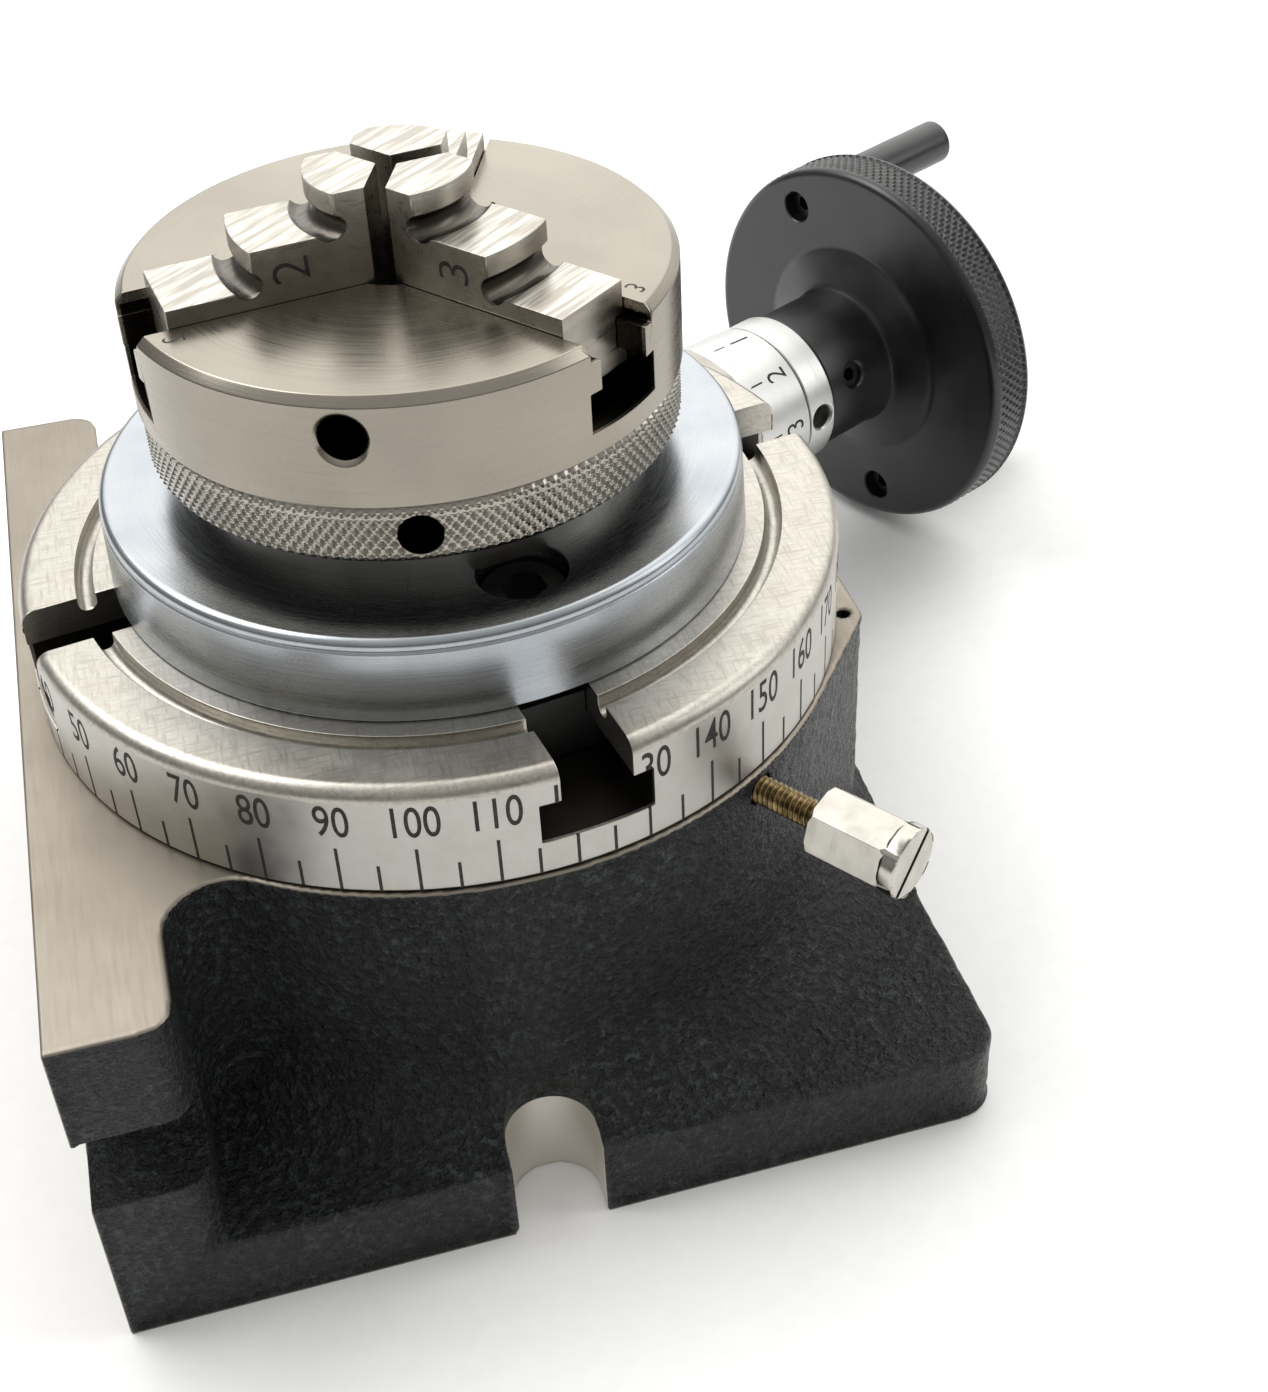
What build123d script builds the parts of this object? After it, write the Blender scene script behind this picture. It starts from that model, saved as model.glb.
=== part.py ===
from build123d import *
import math
import os

# Rotary table with a three-jaw scroll chuck, in millimetres.
# Origin: the table's axis at the underside of the base. +Z up, -Y to the front,
# -X to the tall foot that lets the table stand on its side.

# Base casting
base_left = -53.0
base_right = 54.2
base_front = -59.4
base_back = 64.0
base_middle_x = (base_left + base_right) / 2
base_middle_y = (base_front + base_back) / 2
flange_height = 11.5
flange_corner = 5.0
flange_edge = 1.0
base_height = 48.0
foot_inner = -39.6
foot_hollow = 6.5
foot_round = 3.5
drum_radius = 50.5
flare_radius = 12.0
corner_x = 50.5
corner_y = -17.4
corner_round = 3.0
block_tangent = -39.0
block_back = 40.0
block_shoulder = (24.0, 56.0)
web_depth = 24.0
web_thickness = 12.0
slot_center_x = -1.8
slot_width = 10.8
side_slot_width = 10.5
side_slot_height = 28.0
side_slot_depth = 13.4
cavity_radius = 23.0
register_radius = 26.0
register_depth = 10.0
deck_underside = 37.4
thrust_seat = 46.7
thrust_inner = 24.0
thrust_outer = 34.0
oil_hole = (48.1, -16.4)
oil_hole_radius = 0.9

# Table and its spindle
table_radius = 50.0
table_bottom = 48.2
table_top = 62.6
table_rim_round = 1.8
t_slot_width = 8.4
t_slot_wide = 13.4
t_slot_floor = 52.6
t_slot_lip = 58.0
t_slot_start = 13.0
t_slot_angle = 279.3
ring_groove = (41.0, 43.1)
journal_radius = 17.5
wheel_seat_radius = 13.0
thread_radius = 12.0
wheel_seat_top = 37.5
spindle_end = 14.0
spindle_bore = 7.5
centre_recess = 9.0
centre_recess_floor = 56.0
key_width = 3.0
key_depth = 1.5
running_clearance = 0.05
fit_gap = 0.02

# Worm and wheel: module 1, 40 teeth, one start
worm_angle = 27.0
worm_height = 32.4
centre_distance = 25.0
wheel_teeth = 40
wheel_radius = 21.0
wheel_root = 18.65
wheel_width = 8.0
worm_pitch_radius = 5.0
worm_lead = math.pi
worm_turns = 6.5
worm_tip = 6.0
worm_root = 3.6
worm_crest = 0.65
flank_slope = math.tan(math.radians(20))
mesh_clearance = 0.3

# Stations along the worm axis, from its nearest point to the table's axis
tail_end = -26.0
tail_mouth = -13.0
washer_room = 11.5
washer_radius = 9.0
sleeve_start = 18.0
housing_end = 68.0
sleeve_flange_end = 70.6
dial_start = 70.8
dial_end = 82.1
collar_start = 82.3
collar_end = 87.7
hub_start = 87.9
boss_front = 102.9
web_front = 104.8
wheel_back = 113.3
set_screw_station = 85.0
grub_screw_station = 93.6
clamp_screw_station = 52.0

# Radii along the worm axis
tail_radius = 3.5
tail_bush_radius = 5.5
shaft_radius = 5.0
sleeve_radius = 11.0
sleeve_flange_radius = 13.2
housing_radius = 14.0
nose_radius = 8.0
dial_radius_inner_end = 13.0
dial_radius_outer_end = 12.3
collar_radius = 12.2
hub_radius = 11.5
boss_radius = 16.9
handwheel_radius = 30.7
clamp_screw_radius = 2.0
set_screw_radius = 1.9
set_screw_angle = 86.0
grub_screw_angle = 68.0
crank_circle = 25.0
crank_angles = (-31.0, 165.0)
crank_length = 26.0
crank_radius = 3.6
crank_screw_radius = 1.5
crank_head_radius = 2.4

# Table lock
lock_angle = -54.5
lock_height = 44.7
stud_radius = 1.75
stud_end = 59.0
lock_hex_end = 68.9
lock_head_end = 70.8
lock_hex_turn = 44
lock_collar_radius = 4.4
lock_slot_width = 0.75
lock_slot_depth = 1.2
lock_slot_turn = 134
lock_head_flats = 8.0
pad_start = 17.9
pad_end = 23.0

# Back plate and its fixings
plate_top = 73.3
plate_radius = 38.7
plate_edge_round = 1.1
plate_screw_circle = 29.4
plate_screw_angles = (281.0, 101.0)
plate_screw_radius = 3.0
plate_head_radius = 5.0
plate_head_seat = 65.8
plate_head_height = 5.4
plate_bore = 6.0
spigot_radius = 8.95
screw_head_radius = 4.25
screw_radius = 2.5
mount_screw_circle = 20.0
mount_head_top = 67.8
mount_screw_end = 77.3
cover_screw_circle = 10.0

# Chuck
chuck_middle_angles = (8.0, 128.0, 248.0)
cover_radius = 27.0
cover_top = 78.1
ring_bottom = 78.2
ring_top = 85.4
ring_radius = 31.3
ring_bar_height = 81.6
ring_bar_angles = (260.5, 20.5, 140.5)
bar_hole_radius = 2.5
body_bottom = 85.5
body_top = 98.8
body_radius = 31.6
body_cavity_radius = 29.0
body_cavity_top = 90.8
body_bar_height = 94.0
chuck_bore = 7.5
hub_outer = 12.5
scroll_disc_radius = 28.7
scroll_disc_top = 88.1
scroll_top = 90.5
scroll_pitch = 4.0
scroll_ridge = 1.4
scroll_start = 13.3
scroll_quarters = 14

# Jaws, closed
jaw_angles = (68.0, 188.0, 308.0)
jaw_half = 5.2
jaw_neck_half = 3.8
jaw_foot_half = 5.5
slide_gap = 0.1
jaw_tip = 1.3
jaw_end = 27.5
foot_bottom = 90.9
foot_top = 93.1
neck_top = 96.9
tooth_bottom = 88.5
tooth_half = 2.5
tooth_thickness = 1.7
land_heights = (100.9, 105.4)
land_radii = (18.4, 9.4)
relief_radius = 1.45
relief_offset = 0.6
jaw_top = 109.9

os.makedirs("parts", exist_ok=True)


def save(part, name):
    part.label = name
    export_step(part, "parts/" + name + ".step")


def polar(radius, degrees):
    return (radius * math.cos(math.radians(degrees)), radius * math.sin(math.radians(degrees)))


# a horizontal plane turned about the table's axis
def turned_plane(height, degrees):
    x, y = polar(1.0, degrees)
    return Plane(origin=(0, 0, height), x_dir=(x, y, 0), z_dir=(0, 0, 1))


# a plane whose normal points outwards from the table's axis, with its X axis up
def spoke_plane(degrees, height):
    x, y = polar(1.0, degrees)
    return Plane(origin=(0, 0, height), x_dir=(0, 0, 1), z_dir=(x, y, 0))


# the worm's own plane: its normal is the worm axis and its X axis points up
worm_foot_x, worm_foot_y = polar(centre_distance, worm_angle + 90)
worm_direction_x, worm_direction_y = polar(1.0, worm_angle)
worm_plane = Plane(
    origin=(worm_foot_x, worm_foot_y, worm_height),
    x_dir=(0, 0, 1),
    z_dir=(worm_direction_x, worm_direction_y, 0),
)
worm_axis = Axis(worm_plane.origin, worm_plane.z_dir)
profile_plane = Plane(
    origin=worm_plane.origin,
    x_dir=worm_plane.z_dir,
    z_dir=(worm_direction_y, -worm_direction_x, 0),
)


# a plane that looks outwards from the worm axis, at a station and an angle from the top
def worm_spoke(station, degrees):
    x, y = polar(1.0, degrees)
    normal = worm_plane.x_dir * x + worm_plane.y_dir * y
    return Plane(
        origin=worm_plane.origin + worm_plane.z_dir * station,
        x_dir=worm_plane.z_dir,
        z_dir=normal,
    )


# a solid or hollow round bar along a plane's normal
def round_bar(plane, start, end, radius, hole=0.0):
    with BuildPart() as bar:
        with BuildSketch(plane.offset(start)):
            Circle(radius)
            if hole > 0:
                Circle(hole, mode=Mode.SUBTRACT)
        extrude(amount=end - start)
    return bar.part


# a socket-head screw along a plane's normal, with its head's socket facing outwards
def socket_screw(plane, tip, seat, top, shank_radius, head_radius):
    with BuildPart() as screw:
        add(round_bar(plane, tip, seat, shank_radius))
        add(round_bar(plane, seat, top, head_radius))
        with BuildSketch(plane.offset(top)):
            RegularPolygon(head_radius * 0.55, 6)
        extrude(amount=-(top - seat) * 0.55, mode=Mode.SUBTRACT)
    return screw.part


# a headless screw with a hexagon socket in its outer end
def grub_screw(plane, start, end, radius):
    with BuildPart() as screw:
        add(round_bar(plane, start, end, radius))
        with BuildSketch(plane.offset(end)):
            RegularPolygon(radius * 0.6, 6)
        extrude(amount=-radius * 1.2, mode=Mode.SUBTRACT)
    return screw.part


lock_plane = spoke_plane(lock_angle, lock_height)
clamp_plane = worm_spoke(clamp_screw_station, 0)
set_screw_plane = worm_spoke(set_screw_station, set_screw_angle)
grub_screw_plane = worm_spoke(grub_screw_station, grub_screw_angle)
t_slot_angles = [t_slot_angle + 90 * quarter for quarter in range(4)]

# ---- Base casting

with BuildPart() as flare:
    # the sweep from the drum's wall down to the flange, a quarter-round hollow
    flare_inner = drum_radius - 3
    flare_outer = drum_radius + flare_radius
    flare_crest = flange_height + flare_radius
    with BuildSketch(Plane.XZ):
        with BuildLine():
            CenterArc((flare_outer, flare_crest), flare_radius, 180, 90)
            Polyline(
                (flare_outer, flange_height),
                (flare_outer, flange_height - 1),
                (flare_inner, flange_height - 1),
                (flare_inner, flare_crest),
                (drum_radius, flare_crest),
            )
        make_face()
    revolve(axis=Axis.Z)
    with BuildSketch():
        with Locations((base_middle_x, base_middle_y)):
            RectangleRounded(base_right - base_left, base_back - base_front, flange_corner)
    extrude(amount=base_height, mode=Mode.INTERSECT)

with BuildPart() as base:
    with BuildSketch():
        with Locations((base_middle_x, base_middle_y)):
            Rectangle(base_right - base_left, base_back - base_front)
    extrude(amount=flange_height)
    fillet(base.edges().filter_by(Axis.Z).group_by(Axis.X)[-1], flange_corner)
    fillet(base.edges().group_by(Axis.Z)[-1].sort_by(Axis.X)[1:], flange_edge)
    # drum, tall foot and the block that carries the worm, up to the ground top
    with BuildSketch() as outline:
        Circle(drum_radius)
        with Locations(((base_left + foot_inner) / 2, base_middle_y)):
            Rectangle(foot_inner - base_left, base_back - base_front)
        with BuildLine():
            Polyline(
                (0, 0),
                polar(drum_radius, block_tangent),
                (corner_x, corner_y),
                (corner_x, block_back),
                block_shoulder,
                (0, drum_radius),
                close=True,
            )
        make_face()
        foot_points = outline.vertices().filter_by_position(Axis.X, foot_inner - 0.1, foot_inner + 0.1)
        fillet(foot_points.sort_by(Axis.Y)[1:-1], foot_hollow)
        foot_points = outline.vertices().filter_by_position(Axis.X, foot_inner - 0.1, foot_inner + 0.1)
        foot_ends = foot_points.group_by(Axis.Y)
        fillet([foot_ends[0][0], foot_ends[-1][0]], foot_round)
        block_points = outline.vertices().filter_by_position(Axis.X, corner_x - 0.1, corner_x + 0.1)
        fillet(block_points, corner_round)
    extrude(amount=base_height)
    add(flare.part)
    # housing tube for the worm sleeve, with a web down to the flange
    with BuildSketch(worm_plane.offset(sleeve_start)):
        Circle(housing_radius)
        with Locations((-web_depth / 2, 0)):
            Rectangle(web_depth, web_thickness)
    extrude(amount=housing_end - sleeve_start)
    # hollow for the wheel, bore for the table's journal, seat for the thrust ring
    with BuildSketch():
        Circle(cavity_radius)
    extrude(amount=deck_underside, mode=Mode.SUBTRACT)
    add(round_bar(Plane.XY, 0, register_depth, register_radius), mode=Mode.SUBTRACT)
    with BuildSketch():
        Circle(journal_radius + running_clearance)
    extrude(amount=base_height, mode=Mode.SUBTRACT)
    with BuildSketch(Plane.XY.offset(thrust_seat)):
        Circle(thrust_outer + fit_gap)
        Circle(thrust_inner - fit_gap, mode=Mode.SUBTRACT)
    extrude(amount=base_height - thrust_seat, mode=Mode.SUBTRACT)
    # worm tunnel, sleeve bore and tail bore
    add(round_bar(worm_plane, tail_mouth, washer_room, worm_tip + 1.2), mode=Mode.SUBTRACT)
    add(round_bar(worm_plane, washer_room, sleeve_start, washer_radius + 0.6), mode=Mode.SUBTRACT)
    add(round_bar(worm_plane, sleeve_start - 0.4, housing_end, sleeve_radius + fit_gap), mode=Mode.SUBTRACT)
    add(round_bar(worm_plane, tail_end, tail_mouth, tail_bush_radius + fit_gap), mode=Mode.SUBTRACT)
    # holes for the sleeve's clamp screw, the lock screw and oil
    add(round_bar(clamp_plane, 5, housing_radius + 4, clamp_screw_radius + fit_gap), mode=Mode.SUBTRACT)
    add(round_bar(lock_plane, 17, drum_radius + 3, stud_radius + running_clearance), mode=Mode.SUBTRACT)
    with Locations((oil_hole[0], oil_hole[1], base_height)):
        Hole(oil_hole_radius, depth=5)
    # open slots for clamping bolts, down through the flange and across through the foot
    for edge, inward in ((base_front, 1), (base_back, -1)):
        with BuildSketch():
            with Locations((slot_center_x, edge + inward * 3.4)):
                Circle(slot_width / 2)
            with Locations((slot_center_x, edge)):
                Rectangle(slot_width, 6.8)
        extrude(amount=flare_crest, mode=Mode.SUBTRACT)
        round_y = edge + inward * (side_slot_depth - side_slot_width / 2)
        with BuildSketch(Plane.YZ.offset(base_left - 1)):
            with Locations((round_y, side_slot_height)):
                Circle(side_slot_width / 2)
            with Locations(((round_y + edge - inward) / 2, side_slot_height)):
                Rectangle(abs(round_y - edge) + 1, side_slot_width)
        extrude(amount=foot_inner - base_left + 2, mode=Mode.SUBTRACT)
save(base.part, "base_casting")

save(round_bar(Plane.XY, thrust_seat, table_bottom, thrust_outer, thrust_inner), "thrust_ring")

# ---- Table with its spindle

with BuildPart() as table:
    with BuildSketch(Plane.XY.offset(table_bottom)):
        Circle(table_radius)
    extrude(amount=table_top - table_bottom)
    fillet(table.edges().sort_by(Axis.Z)[-1], table_rim_round)
    add(round_bar(Plane.XY, wheel_seat_top, table_bottom, journal_radius))
    add(round_bar(Plane.XY, worm_height - wheel_width / 2, wheel_seat_top, wheel_seat_radius))
    add(round_bar(Plane.XY, spindle_end, worm_height - wheel_width / 2, thread_radius))
    add(round_bar(Plane.XY, spindle_end, table_top, spindle_bore), mode=Mode.SUBTRACT)
    add(round_bar(Plane.XY, centre_recess_floor, table_top, centre_recess), mode=Mode.SUBTRACT)
    # round-bottomed ring groove near the rim
    groove_radius = (ring_groove[1] - ring_groove[0]) / 2
    groove_middle = (ring_groove[0] + ring_groove[1]) / 2
    with BuildSketch(Plane.XZ):
        with Locations((groove_middle, table_top - groove_radius)):
            Circle(groove_radius)
        with Locations((groove_middle, table_top)):
            Rectangle(groove_radius * 2, groove_radius * 2)
    revolve(axis=Axis.Z, mode=Mode.SUBTRACT)
    for angle in t_slot_angles:
        slot_middle = (t_slot_start + table_radius + 2) / 2
        slot_length = table_radius + 2 - t_slot_start
        with BuildSketch(turned_plane(t_slot_floor, angle)):
            with Locations((slot_middle, 0)):
                Rectangle(slot_length, t_slot_width)
        extrude(amount=table_top - t_slot_floor, mode=Mode.SUBTRACT)
        with BuildSketch(turned_plane(t_slot_floor, angle)):
            with Locations((slot_middle, 0)):
                Rectangle(slot_length, t_slot_wide)
        extrude(amount=t_slot_lip - t_slot_floor, mode=Mode.SUBTRACT)
    with BuildSketch(Plane.XY.offset(worm_height - wheel_width / 2)):
        with Locations((wheel_seat_radius, 0)):
            Rectangle(key_depth * 2, key_width)
    extrude(amount=wheel_width, mode=Mode.SUBTRACT)
save(table.part, "table")

# one tooth gap of the wheel, leaned to the worm's lead
gap_lean = worm_lead / (2 * math.pi * worm_pitch_radius)
gap_plane = Plane(origin=(0, 0, worm_height), x_dir=(1, 0, 0), z_dir=(0, gap_lean, 1))


def gap_half_width(radius):
    depth = radius - (centre_distance - worm_tip)
    return worm_crest / 2 + max(depth, 0) * flank_slope + mesh_clearance


with BuildPart() as tooth_gap:
    gap_outer = wheel_radius + 0.5
    with BuildSketch(gap_plane):
        with BuildLine():
            Polyline(
                (wheel_root, -gap_half_width(wheel_root)),
                (gap_outer, -gap_half_width(gap_outer)),
                (gap_outer, gap_half_width(gap_outer)),
                (wheel_root, gap_half_width(wheel_root)),
                close=True,
            )
        make_face()
    extrude(amount=wheel_width, both=True)

with BuildPart() as worm_wheel:
    wheel_bottom = worm_height - wheel_width / 2
    with BuildSketch(Plane.XY.offset(wheel_bottom)):
        Circle(wheel_radius)
        Circle(wheel_seat_radius + fit_gap, mode=Mode.SUBTRACT)
        with Locations((wheel_seat_radius, 0)):
            Rectangle(key_depth * 2, key_width, mode=Mode.SUBTRACT)
    extrude(amount=wheel_width)
    with PolarLocations(0, wheel_teeth, start_angle=worm_angle + 90):
        add(tooth_gap.part, mode=Mode.SUBTRACT)
save(worm_wheel.part, "worm_wheel")

with BuildPart() as wheel_key:
    with BuildSketch(Plane.XY.offset(wheel_bottom)):
        with Locations((wheel_seat_radius, 0)):
            Rectangle(key_depth * 2 - fit_gap, key_width - fit_gap)
    extrude(amount=wheel_width)
save(wheel_key.part, "wheel_key")

washer_bottom = worm_height + wheel_width / 2
save(round_bar(Plane.XY, washer_bottom, deck_underside - 0.1, 20, wheel_seat_radius + fit_gap), "spindle_washer")

for name, nut_top in (("spindle_nut", wheel_bottom), ("spindle_lock_nut", wheel_bottom - 6.1)):
    with BuildPart() as ring_nut:
        add(round_bar(Plane.XY, nut_top - 6, nut_top, 17.5, thread_radius + fit_gap))
        with BuildSketch(Plane.XY.offset(nut_top - 6)):
            with PolarLocations(17.5, 4):
                Rectangle(3, 4)
        extrude(amount=6, mode=Mode.SUBTRACT)
    save(ring_nut.part, name)

# ---- Worm shaft and its bearings

# the thread's section is a cam: root circle, two flanks as spirals, and a short crest
crest_angle = 360 * worm_crest / worm_lead
flank_angle = 360 * (worm_tip - worm_root) * flank_slope / worm_lead
flank_points = 7


def flank(side):
    points = []
    for step in range(flank_points):
        share = step / (flank_points - 1)
        radius = worm_root + (worm_tip - worm_root) * share
        points.append(polar(radius, side * (crest_angle / 2 + flank_angle * (1 - share))))
    return points


with BuildSketch() as thread_section:
    with BuildLine():
        rising = flank(-1)
        falling = flank(1)
        Spline(*rising)
        ThreePointArc(rising[-1], (worm_tip, 0), falling[-1])
        Spline(*falling)
        ThreePointArc(falling[0], (-worm_root, 0), rising[0])
    make_face()

worm_half = worm_lead * worm_turns / 2
thread_solid = Solid.extrude_linear_with_rotation(
    thread_section.sketch.face(), (0, 0, 0), (0, 0, worm_half * 2), 360 * worm_turns
)
thread_solid = worm_plane.offset(-worm_half).location * thread_solid

with BuildPart() as worm_shaft:
    add(thread_solid)
    add(round_bar(worm_plane, tail_end + 1, -worm_half, tail_radius))
    add(round_bar(worm_plane, worm_half, worm_half + 2, shaft_radius))
    add(round_bar(worm_plane, worm_half + 2, sleeve_start - 2, worm_tip + 0.5))
    add(round_bar(worm_plane, sleeve_start - 2, wheel_back - 0.6, shaft_radius))
    chamfer(worm_shaft.edges().group_by(worm_axis)[-1], 0.6)
save(worm_shaft.part, "worm_shaft")

save(round_bar(worm_plane, tail_end, tail_mouth, tail_bush_radius, tail_radius + running_clearance), "worm_tail_bush")
save(
    round_bar(worm_plane, sleeve_start - 1.95, sleeve_start - 0.1, washer_radius, shaft_radius + fit_gap),
    "worm_thrust_washer",
)

with BuildPart() as worm_sleeve:
    add(round_bar(worm_plane, sleeve_start, housing_end, sleeve_radius))
    add(round_bar(worm_plane, housing_end, sleeve_flange_end, sleeve_flange_radius))
    add(
        round_bar(worm_plane, sleeve_start, sleeve_flange_end, shaft_radius + running_clearance),
        mode=Mode.SUBTRACT,
    )
save(worm_sleeve.part, "worm_sleeve")
save(grub_screw(clamp_plane, sleeve_radius, housing_radius - 0.3, clamp_screw_radius), "sleeve_clamp_screw")

# ---- Dial, collar and handwheel

with BuildPart() as dial_ring:
    with BuildSketch(profile_plane):
        with BuildLine():
            Polyline(
                (dial_start, nose_radius + running_clearance),
                (dial_start, dial_radius_inner_end - 0.3),
                (dial_start + 0.3, dial_radius_inner_end),
                (dial_end - 0.2, dial_radius_outer_end),
                (dial_end, dial_radius_outer_end - 0.2),
                (dial_end, nose_radius + running_clearance),
                close=True,
            )
        make_face()
    revolve(axis=worm_axis)
save(dial_ring.part, "dial_ring")

with BuildPart() as dial_collar:
    add(round_bar(worm_plane, collar_start, collar_end, collar_radius))
    chamfer(dial_collar.edges().filter_by(GeomType.CIRCLE), 0.2)
    add(round_bar(worm_plane, sleeve_flange_end + 0.1, collar_start, nose_radius))
    add(round_bar(worm_plane, dial_start, collar_end, shaft_radius + fit_gap), mode=Mode.SUBTRACT)
    add(round_bar(worm_plane, sleeve_flange_end, dial_start, shaft_radius + fit_gap), mode=Mode.SUBTRACT)
    add(round_bar(set_screw_plane, 0, collar_radius + 1, set_screw_radius + fit_gap), mode=Mode.SUBTRACT)
save(dial_collar.part, "dial_collar")
save(grub_screw(set_screw_plane, shaft_radius + fit_gap, collar_radius - 2.4, set_screw_radius), "dial_set_screw")

with BuildPart() as handwheel:
    with BuildSketch(profile_plane):
        with BuildLine():
            Polyline(
                (hub_start, shaft_radius + fit_gap),
                (hub_start, hub_radius - 0.6),
                (hub_start + 0.6, hub_radius),
                (boss_front - 1.6, hub_radius),
                (boss_front, hub_radius + 1.2),
                (boss_front + 0.4, boss_radius - 0.6),
                (web_front, boss_radius + 0.8),
                (web_front, handwheel_radius - 1.5),
                (web_front + 1.4, handwheel_radius),
                (wheel_back - 1.2, handwheel_radius),
                (wheel_back, handwheel_radius - 1.2),
                (wheel_back, 20.5),
                (wheel_back - 3, 19.5),
                (wheel_back - 3, 12.5),
                (wheel_back, 11.5),
                (wheel_back, shaft_radius + fit_gap),
                close=True,
            )
        make_face()
    revolve(axis=worm_axis)
    add(round_bar(grub_screw_plane, 0, hub_radius + 1, clamp_screw_radius + fit_gap), mode=Mode.SUBTRACT)
    for angle in crank_angles:
        with BuildSketch(worm_plane.offset(web_front - 1)):
            with Locations(polar(crank_circle, angle)):
                Circle(crank_head_radius + 0.1)
        extrude(amount=6, mode=Mode.SUBTRACT)
        with BuildSketch(worm_plane.offset(web_front)):
            with Locations(polar(crank_circle, angle)):
                Circle(crank_screw_radius + 0.1)
        extrude(amount=wheel_back - web_front + 1, mode=Mode.SUBTRACT)
save(handwheel.part, "handwheel")
save(grub_screw(grub_screw_plane, shaft_radius + fit_gap, hub_radius - 1.2, clamp_screw_radius), "hub_grub_screw")

for number, angle in enumerate(crank_angles):
    x, y = polar(crank_circle, angle)
    crank_plane = worm_plane.offset(0)
    crank_plane.origin = worm_plane.origin + worm_plane.x_dir * x + worm_plane.y_dir * y
    screw_end = wheel_back + 11
    with BuildPart() as crank_handle:
        add(round_bar(crank_plane, wheel_back, wheel_back + crank_length, crank_radius))
        chamfer(crank_handle.edges().filter_by(GeomType.CIRCLE), 0.5)
        add(round_bar(crank_plane, wheel_back, screw_end + 1, crank_screw_radius + fit_gap), mode=Mode.SUBTRACT)
    save(crank_handle.part, "crank_handle_" + str(number + 1))
    # the screw enters from the dial side, so its own plane looks back along the axis
    screw_plane = Plane(origin=crank_plane.origin, x_dir=crank_plane.x_dir, z_dir=-crank_plane.z_dir)
    seat = web_front + 5
    screw = socket_screw(
        screw_plane, -screw_end, -seat, -(seat - 3), crank_screw_radius, crank_head_radius
    )
    save(screw, "crank_screw_" + str(number + 1))

# ---- Table lock

with BuildPart() as lock_screw:
    with BuildSketch(lock_plane.offset(stud_end)):
        RegularPolygon(lock_head_flats / 2, 6, major_radius=False, rotation=lock_hex_turn)
    extrude(amount=lock_hex_end - stud_end)
    add(round_bar(lock_plane, pad_end, stud_end, stud_radius))
    add(round_bar(lock_plane, lock_hex_end, lock_head_end, lock_collar_radius))
    with BuildSketch(lock_plane.offset(lock_head_end)):
        Rectangle(12, lock_slot_width, rotation=lock_slot_turn)
    extrude(amount=-lock_slot_depth, mode=Mode.SUBTRACT)
save(lock_screw.part, "lock_screw")
save(round_bar(lock_plane, pad_start, pad_end, stud_radius - fit_gap), "lock_pad")

# ---- Back plate and its fixings


# a vertical plane of work at a point on a circle, facing up or down
def post_plane(radius, angle, upwards=True):
    x, y = polar(radius, angle)
    return Plane(origin=(x, y, 0), x_dir=(1, 0, 0), z_dir=(0, 0, 1 if upwards else -1))


with BuildPart() as back_plate:
    with BuildSketch(Plane.XY.offset(table_top)):
        Circle(plate_radius)
    extrude(amount=plate_top - table_top, taper=2)
    fillet(back_plate.edges().group_by(Axis.Z)[-1], plate_edge_round)
    add(round_bar(Plane.XY, centre_recess_floor + 1, table_top, spigot_radius))
    add(round_bar(Plane.XY, centre_recess_floor, plate_top, plate_bore), mode=Mode.SUBTRACT)
    for angle in plate_screw_angles:
        plane = post_plane(plate_screw_circle, angle)
        add(round_bar(plane, plate_head_seat, plate_top, plate_head_radius + 0.2), mode=Mode.SUBTRACT)
        add(round_bar(plane, table_top, plate_head_seat, plate_screw_radius + 0.25), mode=Mode.SUBTRACT)
    for angle in chuck_middle_angles:
        with BuildSketch(Plane.XY.offset(table_top)):
            with Locations(polar(mount_screw_circle, angle)):
                Circle(screw_head_radius + 0.15)
        extrude(amount=mount_head_top - table_top, mode=Mode.SUBTRACT)
        with BuildSketch(Plane.XY.offset(table_top)):
            with Locations(polar(mount_screw_circle, angle)):
                Circle(screw_radius + 0.25)
        extrude(amount=plate_top - table_top, mode=Mode.SUBTRACT)
save(back_plate.part, "back_plate")


with BuildPart() as plate_screws:
    for angle in plate_screw_angles:
        plane = post_plane(plate_screw_circle, angle)
        head_top = plate_head_seat + plate_head_height
        add(socket_screw(plane, t_slot_floor + 0.6, plate_head_seat, head_top, plate_screw_radius, plate_head_radius))
save(plate_screws.part, "plate_screws")

with BuildPart() as t_nuts:
    for angle in t_slot_angles[::2]:
        with BuildSketch(turned_plane(t_slot_floor + 0.2, angle)):
            with Locations((plate_screw_circle, 0)):
                Rectangle(16, t_slot_wide - 0.6)
        extrude(amount=t_slot_lip - t_slot_floor - 0.2)
        with BuildSketch(turned_plane(t_slot_lip - 0.1, angle)):
            with Locations((plate_screw_circle, 0)):
                Rectangle(16, t_slot_width - 0.3)
        extrude(amount=3.1)
    for angle in plate_screw_angles:
        plane = post_plane(plate_screw_circle, angle)
        add(round_bar(plane, t_slot_floor, table_top, plate_screw_radius + fit_gap), mode=Mode.SUBTRACT)
save(t_nuts.part, "t_nuts")

with BuildPart() as chuck_cover:
    add(round_bar(Plane.XY, plate_top, cover_top, cover_radius, chuck_bore))
    for angle in chuck_middle_angles:
        plane = post_plane(mount_screw_circle, angle)
        add(round_bar(plane, plate_top, mount_screw_end, screw_radius + fit_gap), mode=Mode.SUBTRACT)
        plane = post_plane(cover_screw_circle, angle)
        add(round_bar(plane, plate_top, plate_top + 2.4, 3.4), mode=Mode.SUBTRACT)
        add(round_bar(plane, plate_top, cover_top, 2.0), mode=Mode.SUBTRACT)
save(chuck_cover.part, "chuck_cover")

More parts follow.
